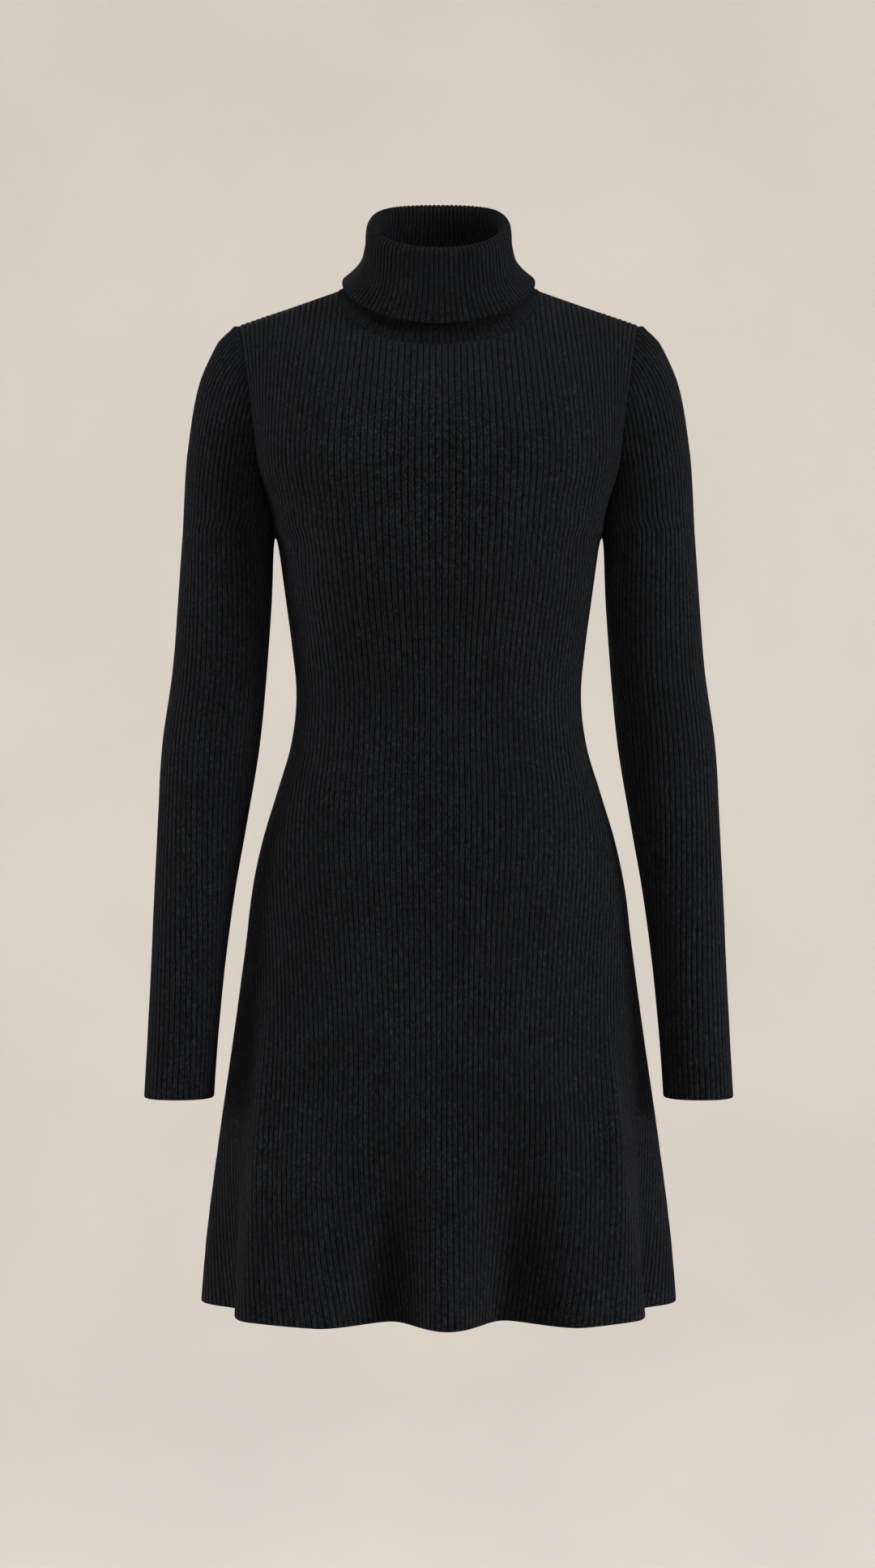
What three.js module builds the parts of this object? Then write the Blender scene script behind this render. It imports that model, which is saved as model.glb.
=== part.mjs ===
// Long-sleeved rib-knit sweater dress with a folded roll collar and a flared skirt, standing in its worn
// form with nobody in it. Millimetres, +Z up, the front towards -Y. The origin is level with the tops of
// the shoulder seams, in the middle of the neck opening.
//
// Five pieces of cloth, each a closed wall 0.3 mm from its neighbours at the seams: front, back, two
// sleeves and the collar. Each wall is plain inside and has its knit ribs raised outside.

import * as THREE from 'three';

// The cloth: from its middle to the plain inside, to the bottom of a groove, and from there to a rib's crest
const INSIDE = 1.0;
const GROOVE = 0.6;
const RIB_RISE = 0.95;
const SEAM_GAP = 0.3;
const SEAM_SPARE = 0.05; // more room on each side of a curved seam, whose edges are cut into straight runs
const NECK_SPARE = 0.3; // the same for the collar, because the neckline is steep at its sides
const RIBS_TO_SEAM = 2.5; // ribs flatten over this many ribs beside a seam

// Heights that divide the body
const HEM = -865;
const WAIST = -360;
const UNDERARM = -212;
const CHEST_LINE = -185; // above it the body is drawn between the chest, the armholes and the neckline

// Torso and skirt: half width, depth in front of and behind the side seams, roundness (2 is an ellipse)
// and the ribs across one panel
const TORSO = [
  { z: HEM, wide: 199.5, front: 131, back: 128, round: 2.0, ribs: 124 },
  { z: -806, wide: 195.0, front: 127, back: 125, round: 2.0, ribs: 121 },
  { z: -723, wide: 185.0, front: 121, back: 121, round: 2.03, ribs: 115 },
  { z: -640, wide: 173.3, front: 114.5, back: 117, round: 2.06, ribs: 108 },
  { z: -557, wide: 162.2, front: 108, back: 113, round: 2.1, ribs: 97 },
  { z: -516, wide: 157.4, front: 105, back: 110.5, round: 2.12, ribs: 91 },
  { z: -475, wide: 149.0, front: 100.5, back: 105, round: 2.14, ribs: 84 },
  { z: -433, wide: 136.4, front: 95, back: 96.5, round: 2.17, ribs: 78 },
  { z: -392, wide: 124.3, front: 91, back: 88, round: 2.2, ribs: 74 },
  { z: -350, wide: 119.7, front: 91, back: 84, round: 2.2, ribs: 73 },
  { z: -309, wide: 123.2, front: 98, back: 87, round: 2.22, ribs: 73 },
  { z: -268, wide: 128.7, front: 111, back: 93, round: 2.25, ribs: 73 },
  { z: -226, wide: 134.4, front: 121.5, back: 98, round: 2.3, ribs: 73 },
  { z: UNDERARM, wide: 137.3, front: 123.5, back: 99.5, round: 2.3, ribs: 73 },
  { z: CHEST_LINE, wide: 146.5, front: 124.5, back: 101.5, round: 2.3, ribs: 73 },
];

// Folds of the skirt, by angle from the middle of the panel: how far each stands out (or in) at the hem,
// and the height at which it starts
const FRONT_FOLDS = [
  { angle: -90, out: 1, top: -600 },
  { angle: -68, out: -19, top: -570 },
  { angle: -46, out: 12, top: -560 },
  { angle: -30, out: 19, top: -650 },
  { angle: -14, out: -23, top: -690 },
  { angle: 0, out: 18, top: -700 },
  { angle: 15, out: -24, top: -680 },
  { angle: 31, out: 20, top: -640 },
  { angle: 47, out: 12, top: -565 },
  { angle: 68, out: -19, top: -575 },
  { angle: 90, out: 1, top: -600 },
];
const BACK_FOLDS = [
  { angle: -90, out: 2, top: -600 },
  { angle: -65, out: -13, top: -590 },
  { angle: -43, out: 15, top: -580 },
  { angle: -24, out: -14, top: -640 },
  { angle: -5, out: 14, top: -620 },
  { angle: 14, out: -16, top: -660 },
  { angle: 36, out: 15, top: -600 },
  { angle: 62, out: -14, top: -580 },
  { angle: 90, out: 2, top: -600 },
];

// Shoulders, neckline and armholes
const SHOULDER = { x: 165.6, z: -35.5 };
const NECK = { x: 84, z: -5, front: 70, back: 60, frontZ: -61, backZ: 11 };
const TOP_RIBS = 65;
const CHEST_SWELL = { front: 9, back: 12 }; // how far the middle bows out between chest line and neckline
const SHOULDER_ROUND = 1.15; // how quickly the shoulder falls back from the middle
const SHOULDER_CREST = 2;
const CUT_POWER = 5; // how near the edge the surface bends to meet the neckline and the shoulder seam
const ARMHOLE = { middle: -123.75, half: 88.25, front: 47, back: 45, roundAbove: 1.85, roundBelow: 2.3 };
const ARMHOLE_LINE = [
  { z: UNDERARM, x: 139.5 },
  { z: -200, x: 140.4 },
  { z: -180, x: 142.8 },
  { z: -142, x: 148 },
  { z: -105, x: 153.4 },
  { z: -68, x: 160 },
  { z: SHOULDER.z, x: SHOULDER.x },
];

// The sleeve on the viewer's right: outermost, middle and innermost x, forward shift of the middle,
// depth before and behind it, and the ribs round it (in the cap, the angle at which it meets the armhole)
const SLEEVE = [
  { z: -687.5, out: 246.2, middle: 218, inner: 190.3, ahead: 34, front: 30, back: 30, ribs: 41 },
  { z: -640, out: 243.5, middle: 215, inner: 187.0, ahead: 33, front: 31, back: 31, ribs: 42 },
  { z: -578, out: 240.7, middle: 211, inner: 181.3, ahead: 29, front: 33, back: 33, ribs: 45 },
  { z: -516, out: 238.6, middle: 206, inner: 173.5, ahead: 22, front: 36, back: 36, ribs: 50 },
  { z: -454, out: 236.3, middle: 200, inner: 163.2, ahead: 13, front: 40, back: 39, ribs: 56 },
  { z: -392, out: 233.4, middle: 193.6, inner: 153.4, ahead: 6, front: 43.5, back: 43, ribs: 60 },
  { z: -330, out: 224.9, middle: 186.3, inner: 147.6, ahead: 3, front: 44.5, back: 44, ribs: 61 },
  { z: -268, out: 220.2, middle: 182, inner: 143.4, ahead: 1, front: 46.5, back: 46, ribs: 61 },
  { z: -226, out: 217.4, middle: 180, inner: 142.0, ahead: 0, front: 47.5, back: 46.5, ribs: 61 },
  { z: UNDERARM, out: 216.4, middle: 179.5, inner: 142.2, ahead: 0, front: 48, back: 47, ribs: 61 },
];
const CAP = [
  { z: UNDERARM, out: 216.4, middle: 179.5, inner: 142.2, front: 48, back: 47, meets: 180 },
  { z: -200, out: 215.8, middle: 179.5, inner: 141.6, front: 48.5, back: 47.5, meets: 152 },
  { z: CHEST_LINE, out: 215.2, middle: 178.8, inner: 141.5, front: 49, back: 47.5, meets: 134 },
  { z: -139, out: 211.8, middle: 173.5, inner: 140, front: 49, back: 47, meets: 110 },
  { z: -88, out: 203.2, middle: 169, inner: 140, front: 42, back: 40.5, meets: 101 },
  { z: -52, out: 187.6, middle: 166, inner: 145, front: 26, back: 25, meets: 96 },
  { z: -37.5, out: 174, middle: 165.8, inner: 150, front: 12.5, back: 12, meets: 92 },
];
const CAP_PITCH = 4.45;
const CAP_ROUND = 2.15;

// Collar: rings from the neckline seam up the inside, over the fold and down to the free edge. Half width,
// depths before and behind, and the height in front, at the sides and behind
const COLLAR = [
  { at: 0, wide: 84, front: 70, back: 60, zFront: -61, zSide: NECK.z, zBack: 11, round: 2 },
  { at: 0.1, wide: 75, front: 66.5, back: 55.5, zFront: -47, zSide: -3, zBack: 22, round: 2 },
  { at: 0.22, wide: 62, front: 61, back: 50, zFront: -28, zSide: 8, zBack: 38, round: 2.1 },
  { at: 0.36, wide: 54, front: 54, back: 47, zFront: -2, zSide: 33, zBack: 59, round: 2.3 },
  { at: 0.46, wide: 52.5, front: 50, back: 46, zFront: 16.5, zSide: 49, zBack: 72, round: 2.4 },
  { at: 0.5, wide: 56, front: 53.5, back: 49.5, zFront: 22, zSide: 54, zBack: 76.5, round: 2.4 },
  { at: 0.54, wide: 60, front: 57.5, back: 53.5, zFront: 17, zSide: 49, zBack: 72, round: 2.4 },
  { at: 0.7, wide: 61.5, front: 64, back: 58, zFront: -2, zSide: 33, zBack: 55, round: 2.3 },
  { at: 0.85, wide: 65, front: 73.5, back: 65, zFront: -23, zSide: 18, zBack: 37, round: 2.15 },
  { at: 0.93, wide: 70, front: 79, back: 70, zFront: -34, zSide: 10.5, zBack: 28, round: 2.1 },
  { at: 1, wide: 76.5, front: 83.5, back: 74, zFront: -43.5, zSide: 4.5, zBack: 20, round: 2.1 },
];
const COLLAR_RIBS = 90;

// Where the walls are cut into rows, bottom to top. Body: heights, then shares of the way from the chest
// line to the top edge. Inside, a row has a point for every few ribs
const BODY_ROWS = [HEM, -720, -560, -480, -425, WAIST, -290, UNDERARM, CHEST_LINE];
const BODY_TOP_ROWS = [0.25, 0.5, 0.72, 0.88, 1];
const CUFF = -687.5;
const SLEEVE_ROWS = [CUFF, -565, -454, -392, -300, UNDERARM];
const COLLAR_ROWS = [0, 0.2, 0.44, 0.5, 0.56, 0.82, 1];
const INSIDE_EVERY = 3; // ribs between two points of the plain inside
const INSIDE_EVERY_TORSO = 4;
const INSIDE_EVERY_NECK = 1.5;
const INSIDE_EVERY_COLLAR_SEAM = 1;
const NECK_CORNER_TURNS = [54, 60, 66, 72, 78, 84, 90]; // angles of the extra points where the neckline turns steep

const COLOUR = 0x1c1d20;
const FINE = 160; // points in half a row, before the ribs are laid along it
const EDGE_CLEAR = 0.22; // no rib point is nearer than this to the end of a row, in ribs

const { lerp, clamp, degToRad, smoothstep } = THREE.MathUtils;
const point = (x, y, z) => new THREE.Vector3(x, y, z);

// A smooth curve through one named column of a table
function read(table, key, at, name) {
  const last = table.length - 1;
  let row = 0;
  while (row < last - 1 && at > table[row + 1][key]) row += 1;
  const before = table[Math.max(row - 1, 0)];
  const start = table[row];
  const end = table[row + 1];
  const after = table[Math.min(row + 2, last)];
  const span = end[key] - start[key];
  const u = clamp((at - start[key]) / span, 0, 1);
  const slopeIn = (span * (end[name] - before[name])) / (end[key] - before[key]);
  const slopeOut = (span * (after[name] - start[name])) / (after[key] - start[key]);
  const u2 = u * u;
  const u3 = u2 * u;
  return (
    (2 * u3 - 3 * u2 + 1) * start[name] +
    (u3 - 2 * u2 + u) * slopeIn +
    (3 * u2 - 2 * u3) * end[name] +
    (u3 - u2) * slopeOut
  );
}

// The same line as evenly spaced points, and its length
function spaced(line) {
  const run = [0];
  for (let i = 1; i < line.length; i += 1) run.push(run[i - 1] + line[i].distanceTo(line[i - 1]));
  const length = run[run.length - 1];
  const points = [];
  let k = 0;
  for (let i = 0; i <= FINE; i += 1) {
    const goal = (length * i) / FINE;
    while (k < run.length - 2 && run[k + 1] < goal) k += 1;
    const share = (goal - run[k]) / Math.max(run[k + 1] - run[k], 1e-9);
    points.push(line[k].clone().lerp(line[k + 1], clamp(share, 0, 1)));
  }
  return { points, length };
}

// A row of the cloth's middle: two halves from its centre outwards, at q from -1 to 1
function rowPoint(row, q) {
  const half = q < 0 ? row.minus : row.plus;
  const place = Math.min(Math.abs(q), 1) * FINE;
  const i = Math.min(Math.floor(place), FINE - 1);
  return half[i].clone().lerp(half[i + 1], place - i);
}

function foldAt(folds, angle, z) {
  let i = 0;
  while (i < folds.length - 2 && angle > folds[i + 1].angle) i += 1;
  const depth = (fold) => fold.out * Math.pow(clamp((fold.top - z) / (fold.top - HEM), 0, 1), 1.4);
  const share = smoothstep(angle, folds[i].angle, folds[i + 1].angle);
  return lerp(depth(folds[i]), depth(folds[i + 1]), share);
}

// Where the armhole is at a height: x, and the depth from the shoulder seam's plane
function armholeAt(side, z) {
  const share = clamp(Math.abs(z - ARMHOLE.middle) / ARMHOLE.half, 0, 1);
  const round = z > ARMHOLE.middle ? ARMHOLE.roundAbove : ARMHOLE.roundBelow;
  const depth = ARMHOLE[side] * Math.pow(1 - Math.pow(share, round), 1 / round);
  return { x: read(ARMHOLE_LINE, 'z', z, 'x'), depth };
}

// The height at which a body row above the chest line meets the armhole
function armholeHeight(t) {
  const start = Math.acos((CHEST_LINE - ARMHOLE.middle) / ARMHOLE.half);
  return ARMHOLE.middle + ARMHOLE.half * Math.cos(start * (1 - t));
}

// One half of a level section of the torso or skirt, from the middle to the side seam or the armhole
function sectionHalf(side, sign, z) {
  const wide = read(TORSO, 'z', z, 'wide');
  const deep = read(TORSO, 'z', z, side);
  const power = 2 / read(TORSO, 'z', z, 'round');
  const folds = side === 'front' ? FRONT_FOLDS : BACK_FOLDS;
  const facing = side === 'front' ? -1 : 1;
  const armhole = armholeAt(side, z);
  const line = [];
  for (let i = 0; i <= FINE; i += 1) {
    const turn = (Math.PI / 2) * (i / FINE);
    const x = wide * Math.pow(Math.sin(turn), power);
    const depth = deep * Math.pow(Math.max(Math.cos(turn), 0), power);
    const out = foldAt(folds, sign * (90 * i) / FINE, z);
    const lean = Math.hypot(x / wide ** 2, depth / deep ** 2);
    const px = x + (out * (x / wide ** 2)) / lean;
    const pd = depth + (out * (depth / deep ** 2)) / lean;
    line.push(point(sign * px, facing * pd, z));
  }
  const whole = spaced(line).length;
  if (z <= UNDERARM) return { ...spaced(line), whole };
  const cut = line.filter((p) => Math.abs(p.y) >= armhole.depth);
  cut.push(line[cut.length].clone());
  const end = point(sign * armhole.x, facing * armhole.depth, z);
  const shift = end.clone().sub(cut[cut.length - 1]);
  cut.forEach((p, i) => p.addScaledVector(shift, Math.pow(i / (cut.length - 1), 6)));
  return { ...spaced(cut), whole };
}

// Neckline, by angle from the middle of the front (0) to the middle of the back (180 degrees)
function necklinePoint(turn, sign) {
  const forward = Math.cos(turn);
  const deep = forward > 0 ? NECK.front : NECK.back;
  return point(sign * NECK.x * Math.sin(turn), -deep * forward, necklineHeight(forward));
}

function necklineHeight(forward) {
  if (forward > 0) return NECK.z + (NECK.frontZ - NECK.z) * forward * (1.35 - 0.35 * forward ** 2);
  return NECK.z + (NECK.backZ - NECK.z) * (1 - Math.pow(1 + forward, 4.9));
}

// Across the neckline seam, from the panels towards the collar
function acrossNeckline(turn, sign) {
  const step = 0.01;
  const from = necklinePoint(Math.max(turn - step, 0), sign);
  const tangent = necklinePoint(Math.min(turn + step, Math.PI), sign).sub(from).normalize();
  const here = necklinePoint(turn, sign);
  const deep = here.y < 0 ? NECK.front : NECK.back;
  const outward = point(here.x / NECK.x ** 2, here.y / deep ** 2, 0).normalize();
  const rise = degToRad(20 + 51 * Math.sin(turn) ** 2);
  const normal = outward.clone().multiplyScalar(Math.cos(rise)).add(point(0, 0, Math.sin(rise)));
  const across = tangent.cross(normal).normalize();
  const inward = outward.negate().add(point(0, 0, 1));
  return across.dot(inward) < 0 ? across.negate() : across;
}

// The top edge of half a panel: neckline, then shoulder seam
function topPoint(side, sign, q) {
  const x = SHOULDER.x * q;
  if (x < NECK.x) {
    const turn = Math.asin(x / NECK.x);
    return necklinePoint(side === 'front' ? turn : Math.PI - turn, sign);
  }
  const share = (x - NECK.x) / (SHOULDER.x - NECK.x);
  return point(sign * x, 0, lerp(NECK.z, SHOULDER.z, share));
}

// The same edge as a smooth body would have it, with no neck cut out and a round shoulder
function smoothTopPoint(side, sign, q) {
  const deep = NECK[side] * Math.pow(1 - q ** 2, SHOULDER_ROUND);
  const middleZ = side === 'front' ? NECK.frontZ : NECK.backZ;
  const z = lerp(middleZ, lerp(SHOULDER_CREST, SHOULDER.z, q), smoothstep(q, 0, 0.7));
  return point(sign * SHOULDER.x * q, side === 'front' ? -deep : deep, z);
}

// Above the chest line: a patch between the chest row, the top edge, the middle line and the armhole
function upperHalf(side, sign, t) {
  const facing = side === 'front' ? -1 : 1;
  const base = sectionHalf(side, sign, CHEST_LINE).points;
  const last = base[FINE];
  const topLast = topPoint(side, sign, 1);
  const middleShift = point(0, facing * CHEST_SWELL[side] * Math.sin(Math.PI * t), 0);
  const z = armholeHeight(t);
  const armhole = armholeAt(side, z);
  const edge = point(sign * armhole.x, facing * armhole.depth, z);
  const edgeShift = edge.sub(last.clone().lerp(topLast, t));
  const line = [];
  for (let i = 0; i <= FINE; i += 1) {
    const q = i / FINE;
    const smooth = smoothTopPoint(side, sign, q);
    const cut = topPoint(side, sign, q).sub(smooth);
    const p = base[i].clone().lerp(smooth, t).addScaledVector(cut, Math.pow(t, CUT_POWER));
    line.push(p.addScaledVector(middleShift, 1 - q).addScaledVector(edgeShift, q));
  }
  return line;
}

// A whole row of a panel at a level: 0 at the hem, 1 at the chest line, 2 at the top edge
function bodyRow(side, level) {
  const signs = side === 'front' ? { plus: 1, minus: -1 } : { plus: -1, minus: 1 };
  if (level <= 1) {
    const z = lerp(HEM, CHEST_LINE, level);
    const plus = sectionHalf(side, signs.plus, z);
    const minus = sectionHalf(side, signs.minus, z);
    const ribs = read(TORSO, 'z', z, 'ribs') * (plus.length / plus.whole);
    return { plus: plus.points, minus: minus.points, ribs };
  }
  const chest = bodyRow(side, 1);
  const plus = upperHalf(side, signs.plus, level - 1);
  const minus = upperHalf(side, signs.minus, level - 1);
  return { plus, minus, ribs: lerp(chest.ribs, TOP_RIBS, level - 1) };
}

// One half (front or back) of a level ring of the sleeve, from its outermost line to its seam
function sleeveHalf(side, z) {
  const cap = z > UNDERARM;
  const table = cap ? CAP : SLEEVE;
  const value = (name) => read(table, 'z', z, name);
  const facing = side === 'front' ? -1 : 1;
  const ahead = cap ? 0 : value('ahead');
  const end = cap ? degToRad(value('meets')) : Math.PI;
  const power = 2 / CAP_ROUND;
  const line = [];
  for (let i = 0; i <= FINE; i += 1) {
    const turn = (end * i) / FINE;
    const across = Math.cos(turn);
    const reach = across > 0 ? value('out') - value('middle') : value('middle') - value('inner');
    const x = value('middle') + reach * Math.sign(across) * Math.pow(Math.abs(across), power);
    const depth = value(side) * Math.pow(Math.abs(Math.sin(turn)), power);
    line.push(point(x, facing * depth - ahead, z));
  }
  if (cap) {
    const armhole = armholeAt(side, z);
    const shift = point(armhole.x, facing * armhole.depth, z).sub(line[FINE]);
    line.forEach((p, i) => p.addScaledVector(shift, Math.pow(i / FINE, 3)));
  }
  return spaced(line);
}

function sleeveRow(z) {
  const plus = sleeveHalf('back', z);
  const minus = sleeveHalf('front', z);
  const ribs = z > UNDERARM ? (2 * plus.length) / CAP_PITCH : read(SLEEVE, 'z', z, 'ribs');
  return { plus: plus.points, minus: minus.points, ribs };
}

// A ring of the collar. It runs round from the middle of the back, viewer's right first
function collarRow(at) {
  const value = (name) => read(COLLAR, 'at', at, name);
  const tilt = (value('zFront') - value('zBack')) / 2;
  const dip = (value('zFront') + value('zBack')) / 2 - value('zSide');
  const seamShare = clamp(1 - at / 0.2, 0, 1);
  const half = (sign) => {
    const line = [];
    for (let i = 0; i <= FINE; i += 1) {
      const turn = Math.PI * (1 - i / FINE);
      const power = 2 / value('round');
      const forward = Math.sign(Math.cos(turn)) * Math.pow(Math.abs(Math.cos(turn)), power);
      const deep = forward > 0 ? value('front') : value('back');
      const plain = value('zSide') + tilt * forward + dip * forward ** 2;
      const seam = necklineHeight(forward) + value('zSide') - NECK.z;
      const z = lerp(plain, seam, seamShare ** 2);
      const x = value('wide') * Math.pow(Math.max(Math.sin(turn), 0), power);
      line.push(point(sign * x, -deep * forward, z));
    }
    return spaced(line).points;
  };
  return { plus: half(1), minus: half(-1), ribs: COLLAR_RIBS };
}

// The outward normal of a surface that rowOf gives, by small steps along and across the rows
function normalAt(surface, level, q) {
  const { rowOf, lowest, highest, step } = surface;
  const below = rowOf(Math.max(level - step, lowest));
  const above = rowOf(Math.min(level + step, highest));
  const row = rowOf(level);
  const nudge = 0.012;
  const alongRow = rowPoint(row, Math.min(q + nudge, 1)).sub(rowPoint(row, Math.max(q - nudge, -1)));
  const upRows = rowPoint(above, q).sub(rowPoint(below, q));
  return alongRow.cross(upRows).normalize();
}

// At a seam the wall is cut along the seam's own plane, so that two walls meet like a mitre. Where the
// walls lie back to back they are set apart instead. away points out of the piece, across the seam
function seamOffsets(middle, normal, away, spare) {
  const leaning = normal.dot(away);
  const mitre = clamp((0.95 - Math.abs(leaning)) / 0.35, 0, 1);
  const offset = normal.clone().addScaledVector(away, -leaning * mitre);
  offset.divideScalar(Math.max(offset.dot(normal), 0.35));
  const crossing = Math.abs(offset.dot(away)) * Math.max(INSIDE, GROOVE);
  const edge = middle.clone().addScaledVector(away, -SEAM_GAP / 2 - spare - crossing);
  return { edge, offset };
}

// The outer and inner points of one row of a wall
function wallRow(surface, level, options = {}) {
  const row = surface.rowOf(level);
  const half = row.ribs / 2;
  const closed = options.closed ?? false;
  const everyRib = [];
  for (let s = Math.ceil(2 * (-half + EDGE_CLEAR)) / 2; s <= half - EDGE_CLEAR; s += 0.5) everyRib.push(s);
  const extra = (options.extra ?? []).flatMap((q) => [-q * half, q * half]);
  const every = options.insideEvery ?? INSIDE_EVERY;
  const clearOfExtra = everyRib.filter((s) => extra.every((e) => Math.abs(e - s) > EDGE_CLEAR));
  const columns = [-half, ...[...clearOfExtra, ...extra].sort((a, b) => a - b), half];
  const inside = columns.filter((s, i) => {
    const atEnd = i === 0 || i === columns.length - 1;
    return atEnd || extra.includes(s) || (s % every === 0 && half - Math.abs(s) > every / 2);
  });
  const place = (s, isOutside) => {
    const q = s / half;
    const middle = rowPoint(row, q);
    const normal = normalAt(surface, level, q);
    const away = options.away ? options.away(s, half, middle, normal) : null;
    const toSeam = clamp((half - Math.abs(s)) / RIBS_TO_SEAM, 0, 1);
    const crest = s % 1 === 0 ? RIB_RISE * (closed ? 1 : toSeam) : 0;
    const shift = isOutside ? GROOVE + crest : -INSIDE;
    if (!away) return middle.addScaledVector(normal, shift);
    const { edge, offset } = seamOffsets(middle, normal, away, options.spare ?? SEAM_SPARE);
    return edge.addScaledVector(offset, shift);
  };
  return {
    closed,
    outside: columns.map((s) => ({ s, p: place(s, true) })),
    inside: inside.map((s) => ({ s, p: place(s, false) })),
  };
}

// A closed wall from its rows: outside, inside, and the rims at the bottom, the top and both side edges
function wall(rows, mirrored = false) {
  const positions = [];
  const faces = [];
  const add = (p) => {
    positions.push(mirrored ? -p.x : p.x, p.y, p.z);
    return positions.length / 3 - 1;
  };
  const numbered = (line, closed) => {
    const out = line.map(({ s, p }, i) => ({ s, i: closed && i === line.length - 1 ? -1 : add(p) }));
    if (closed) out[out.length - 1].i = out[0].i;
    return out;
  };
  const face = (a, b, c) => {
    if (a !== b && b !== c && a !== c) faces.push(mirrored ? [a, c, b] : [a, b, c]);
  };
  // Joins two lines point by point, whichever comes next
  const join = (low, high, turned) => {
    let i = 0;
    let j = 0;
    while (i < low.length - 1 || j < high.length - 1) {
      const lowNext = i < low.length - 1 ? low[i + 1].s : Infinity;
      const highNext = j < high.length - 1 ? high[j + 1].s : Infinity;
      const onLow = lowNext <= highNext;
      const third = onLow ? low[i + 1].i : high[j + 1].i;
      if (turned) face(low[i].i, high[j].i, third);
      else face(low[i].i, third, high[j].i);
      if (onLow) i += 1;
      else j += 1;
    }
  };
  const lines = rows.map((row) => ({
    closed: row.closed,
    outside: numbered(row.outside, row.closed),
    inside: numbered(row.inside, row.closed),
  }));
  const end = lines.length - 1;
  join(lines[0].inside, lines[0].outside, false);
  for (let k = 0; k < end; k += 1) {
    const low = lines[k];
    const high = lines[k + 1];
    join(low.outside, high.outside, false);
    join(low.inside, high.inside, true);
    if (low.closed && high.closed) continue;
    const sides = [0, 1].map((side) => {
      const pick = (line) => line[side * (line.length - 1)].i;
      return [pick(low.outside), pick(low.inside), pick(high.inside), pick(high.outside)];
    });
    const [[a, b, c, d], [e, f, g, h]] = sides;
    face(a, d, b);
    face(b, d, c);
    face(e, f, h);
    face(f, g, h);
  }
  join(lines[end].outside, lines[end].inside, false);
  const geometry = new THREE.BufferGeometry();
  geometry.setAttribute('position', new THREE.Float32BufferAttribute(positions, 3));
  geometry.setIndex(faces.flat());
  geometry.computeVertexNormals();
  return geometry;
}

function remembered(make) {
  const known = new Map();
  return (level) => {
    if (!known.has(level)) known.set(level, make(level));
    return known.get(level);
  };
}

// Across the armhole seam, from the body towards the sleeve, at a point of its curve
function acrossArmhole(side, sign, z) {
  const facing = side === 'front' ? -1 : 1;
  const low = Math.max(z - 2, UNDERARM);
  const high = Math.min(z + 2, SHOULDER.z);
  const a = armholeAt(side, low);
  const b = armholeAt(side, high);
  const along = point(b.x - a.x, facing * (b.depth - a.depth), high - low).normalize();
  const middle = armholeAt(side, z);
  const rise = (z - ARMHOLE.middle) / ARMHOLE.half;
  const outward = point(0, (facing * middle.depth) / ARMHOLE.front, rise).normalize();
  const across = along.clone().cross(outward).normalize();
  if (across.x < 0) across.negate();
  across.x *= sign;
  return across;
}

function panel(side) {
  const facing = side === 'front' ? -1 : 1;
  const surface = {
    rowOf: remembered((level) => bodyRow(side, level)),
    lowest: 0,
    highest: 2,
    step: 0.012,
  };
  const atSideSeam = (s, half) => (Math.abs(Math.abs(s) - half) < 1e-6 ? point(0, -facing, 0) : null);
  const atArmhole = (s, half, middle) => {
    if (Math.abs(Math.abs(s) - half) > 1e-6) return null;
    return acrossArmhole(side, Math.sign(middle.x), middle.z);
  };
  const atTop = (s, half, middle) => {
    const shoulder = point(0, -facing, 0);
    const share = Math.abs(middle.x) / NECK.x;
    if (share > 1.0001) return shoulder;
    const turn = Math.asin(Math.min(share, 1));
    const neckline = acrossNeckline(side === 'front' ? turn : Math.PI - turn, Math.sign(middle.x) || 1);
    return share > 0.9999 ? shoulder.add(neckline).normalize() : neckline;
  };
  const rows = BODY_ROWS.map((z) => {
    const level = (z - HEM) / (CHEST_LINE - HEM);
    const insideEvery = z < WAIST ? INSIDE_EVERY : INSIDE_EVERY_TORSO;
    return wallRow(surface, level, { away: z > UNDERARM ? atArmhole : atSideSeam, insideEvery });
  });
  const extra = NECK_CORNER_TURNS.map((turn) => (NECK.x / SHOULDER.x) * Math.sin(degToRad(turn)));
  const topEdge = { away: atTop, extra, insideEvery: INSIDE_EVERY_NECK };
  const upperRow = { away: atArmhole, insideEvery: INSIDE_EVERY_TORSO };
  BODY_TOP_ROWS.forEach((t) => rows.push(wallRow(surface, 1 + t, t === 1 ? topEdge : upperRow)));
  return wall(rows);
}

function sleeve(mirrored) {
  const capRows = [CHEST_LINE, ...BODY_TOP_ROWS.slice(0, -1).map(armholeHeight)];
  const highest = capRows[capRows.length - 1];
  const surface = { rowOf: remembered(sleeveRow), lowest: CUFF, highest, step: 2 };
  const atArmhole = (s, half, middle) => {
    if (Math.abs(Math.abs(s) - half) > 1e-6) return null;
    return acrossArmhole(middle.y < 0 ? 'front' : 'back', 1, middle.z).negate();
  };
  const rows = SLEEVE_ROWS.map((z) => wallRow(surface, z, { closed: true }));
  capRows.forEach((z) => rows.push(wallRow(surface, z, { away: atArmhole })));
  const tip = point(SHOULDER.x + SEAM_GAP, 0, SHOULDER.z - 0.4);
  rows.push({
    closed: false,
    outside: [{ s: 0, p: tip.clone().add(point(0.2, 0, GROOVE)) }],
    inside: [{ s: 0, p: tip.clone().add(point(0.2, 0, -INSIDE)) }],
  });
  return wall(rows, mirrored);
}

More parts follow.
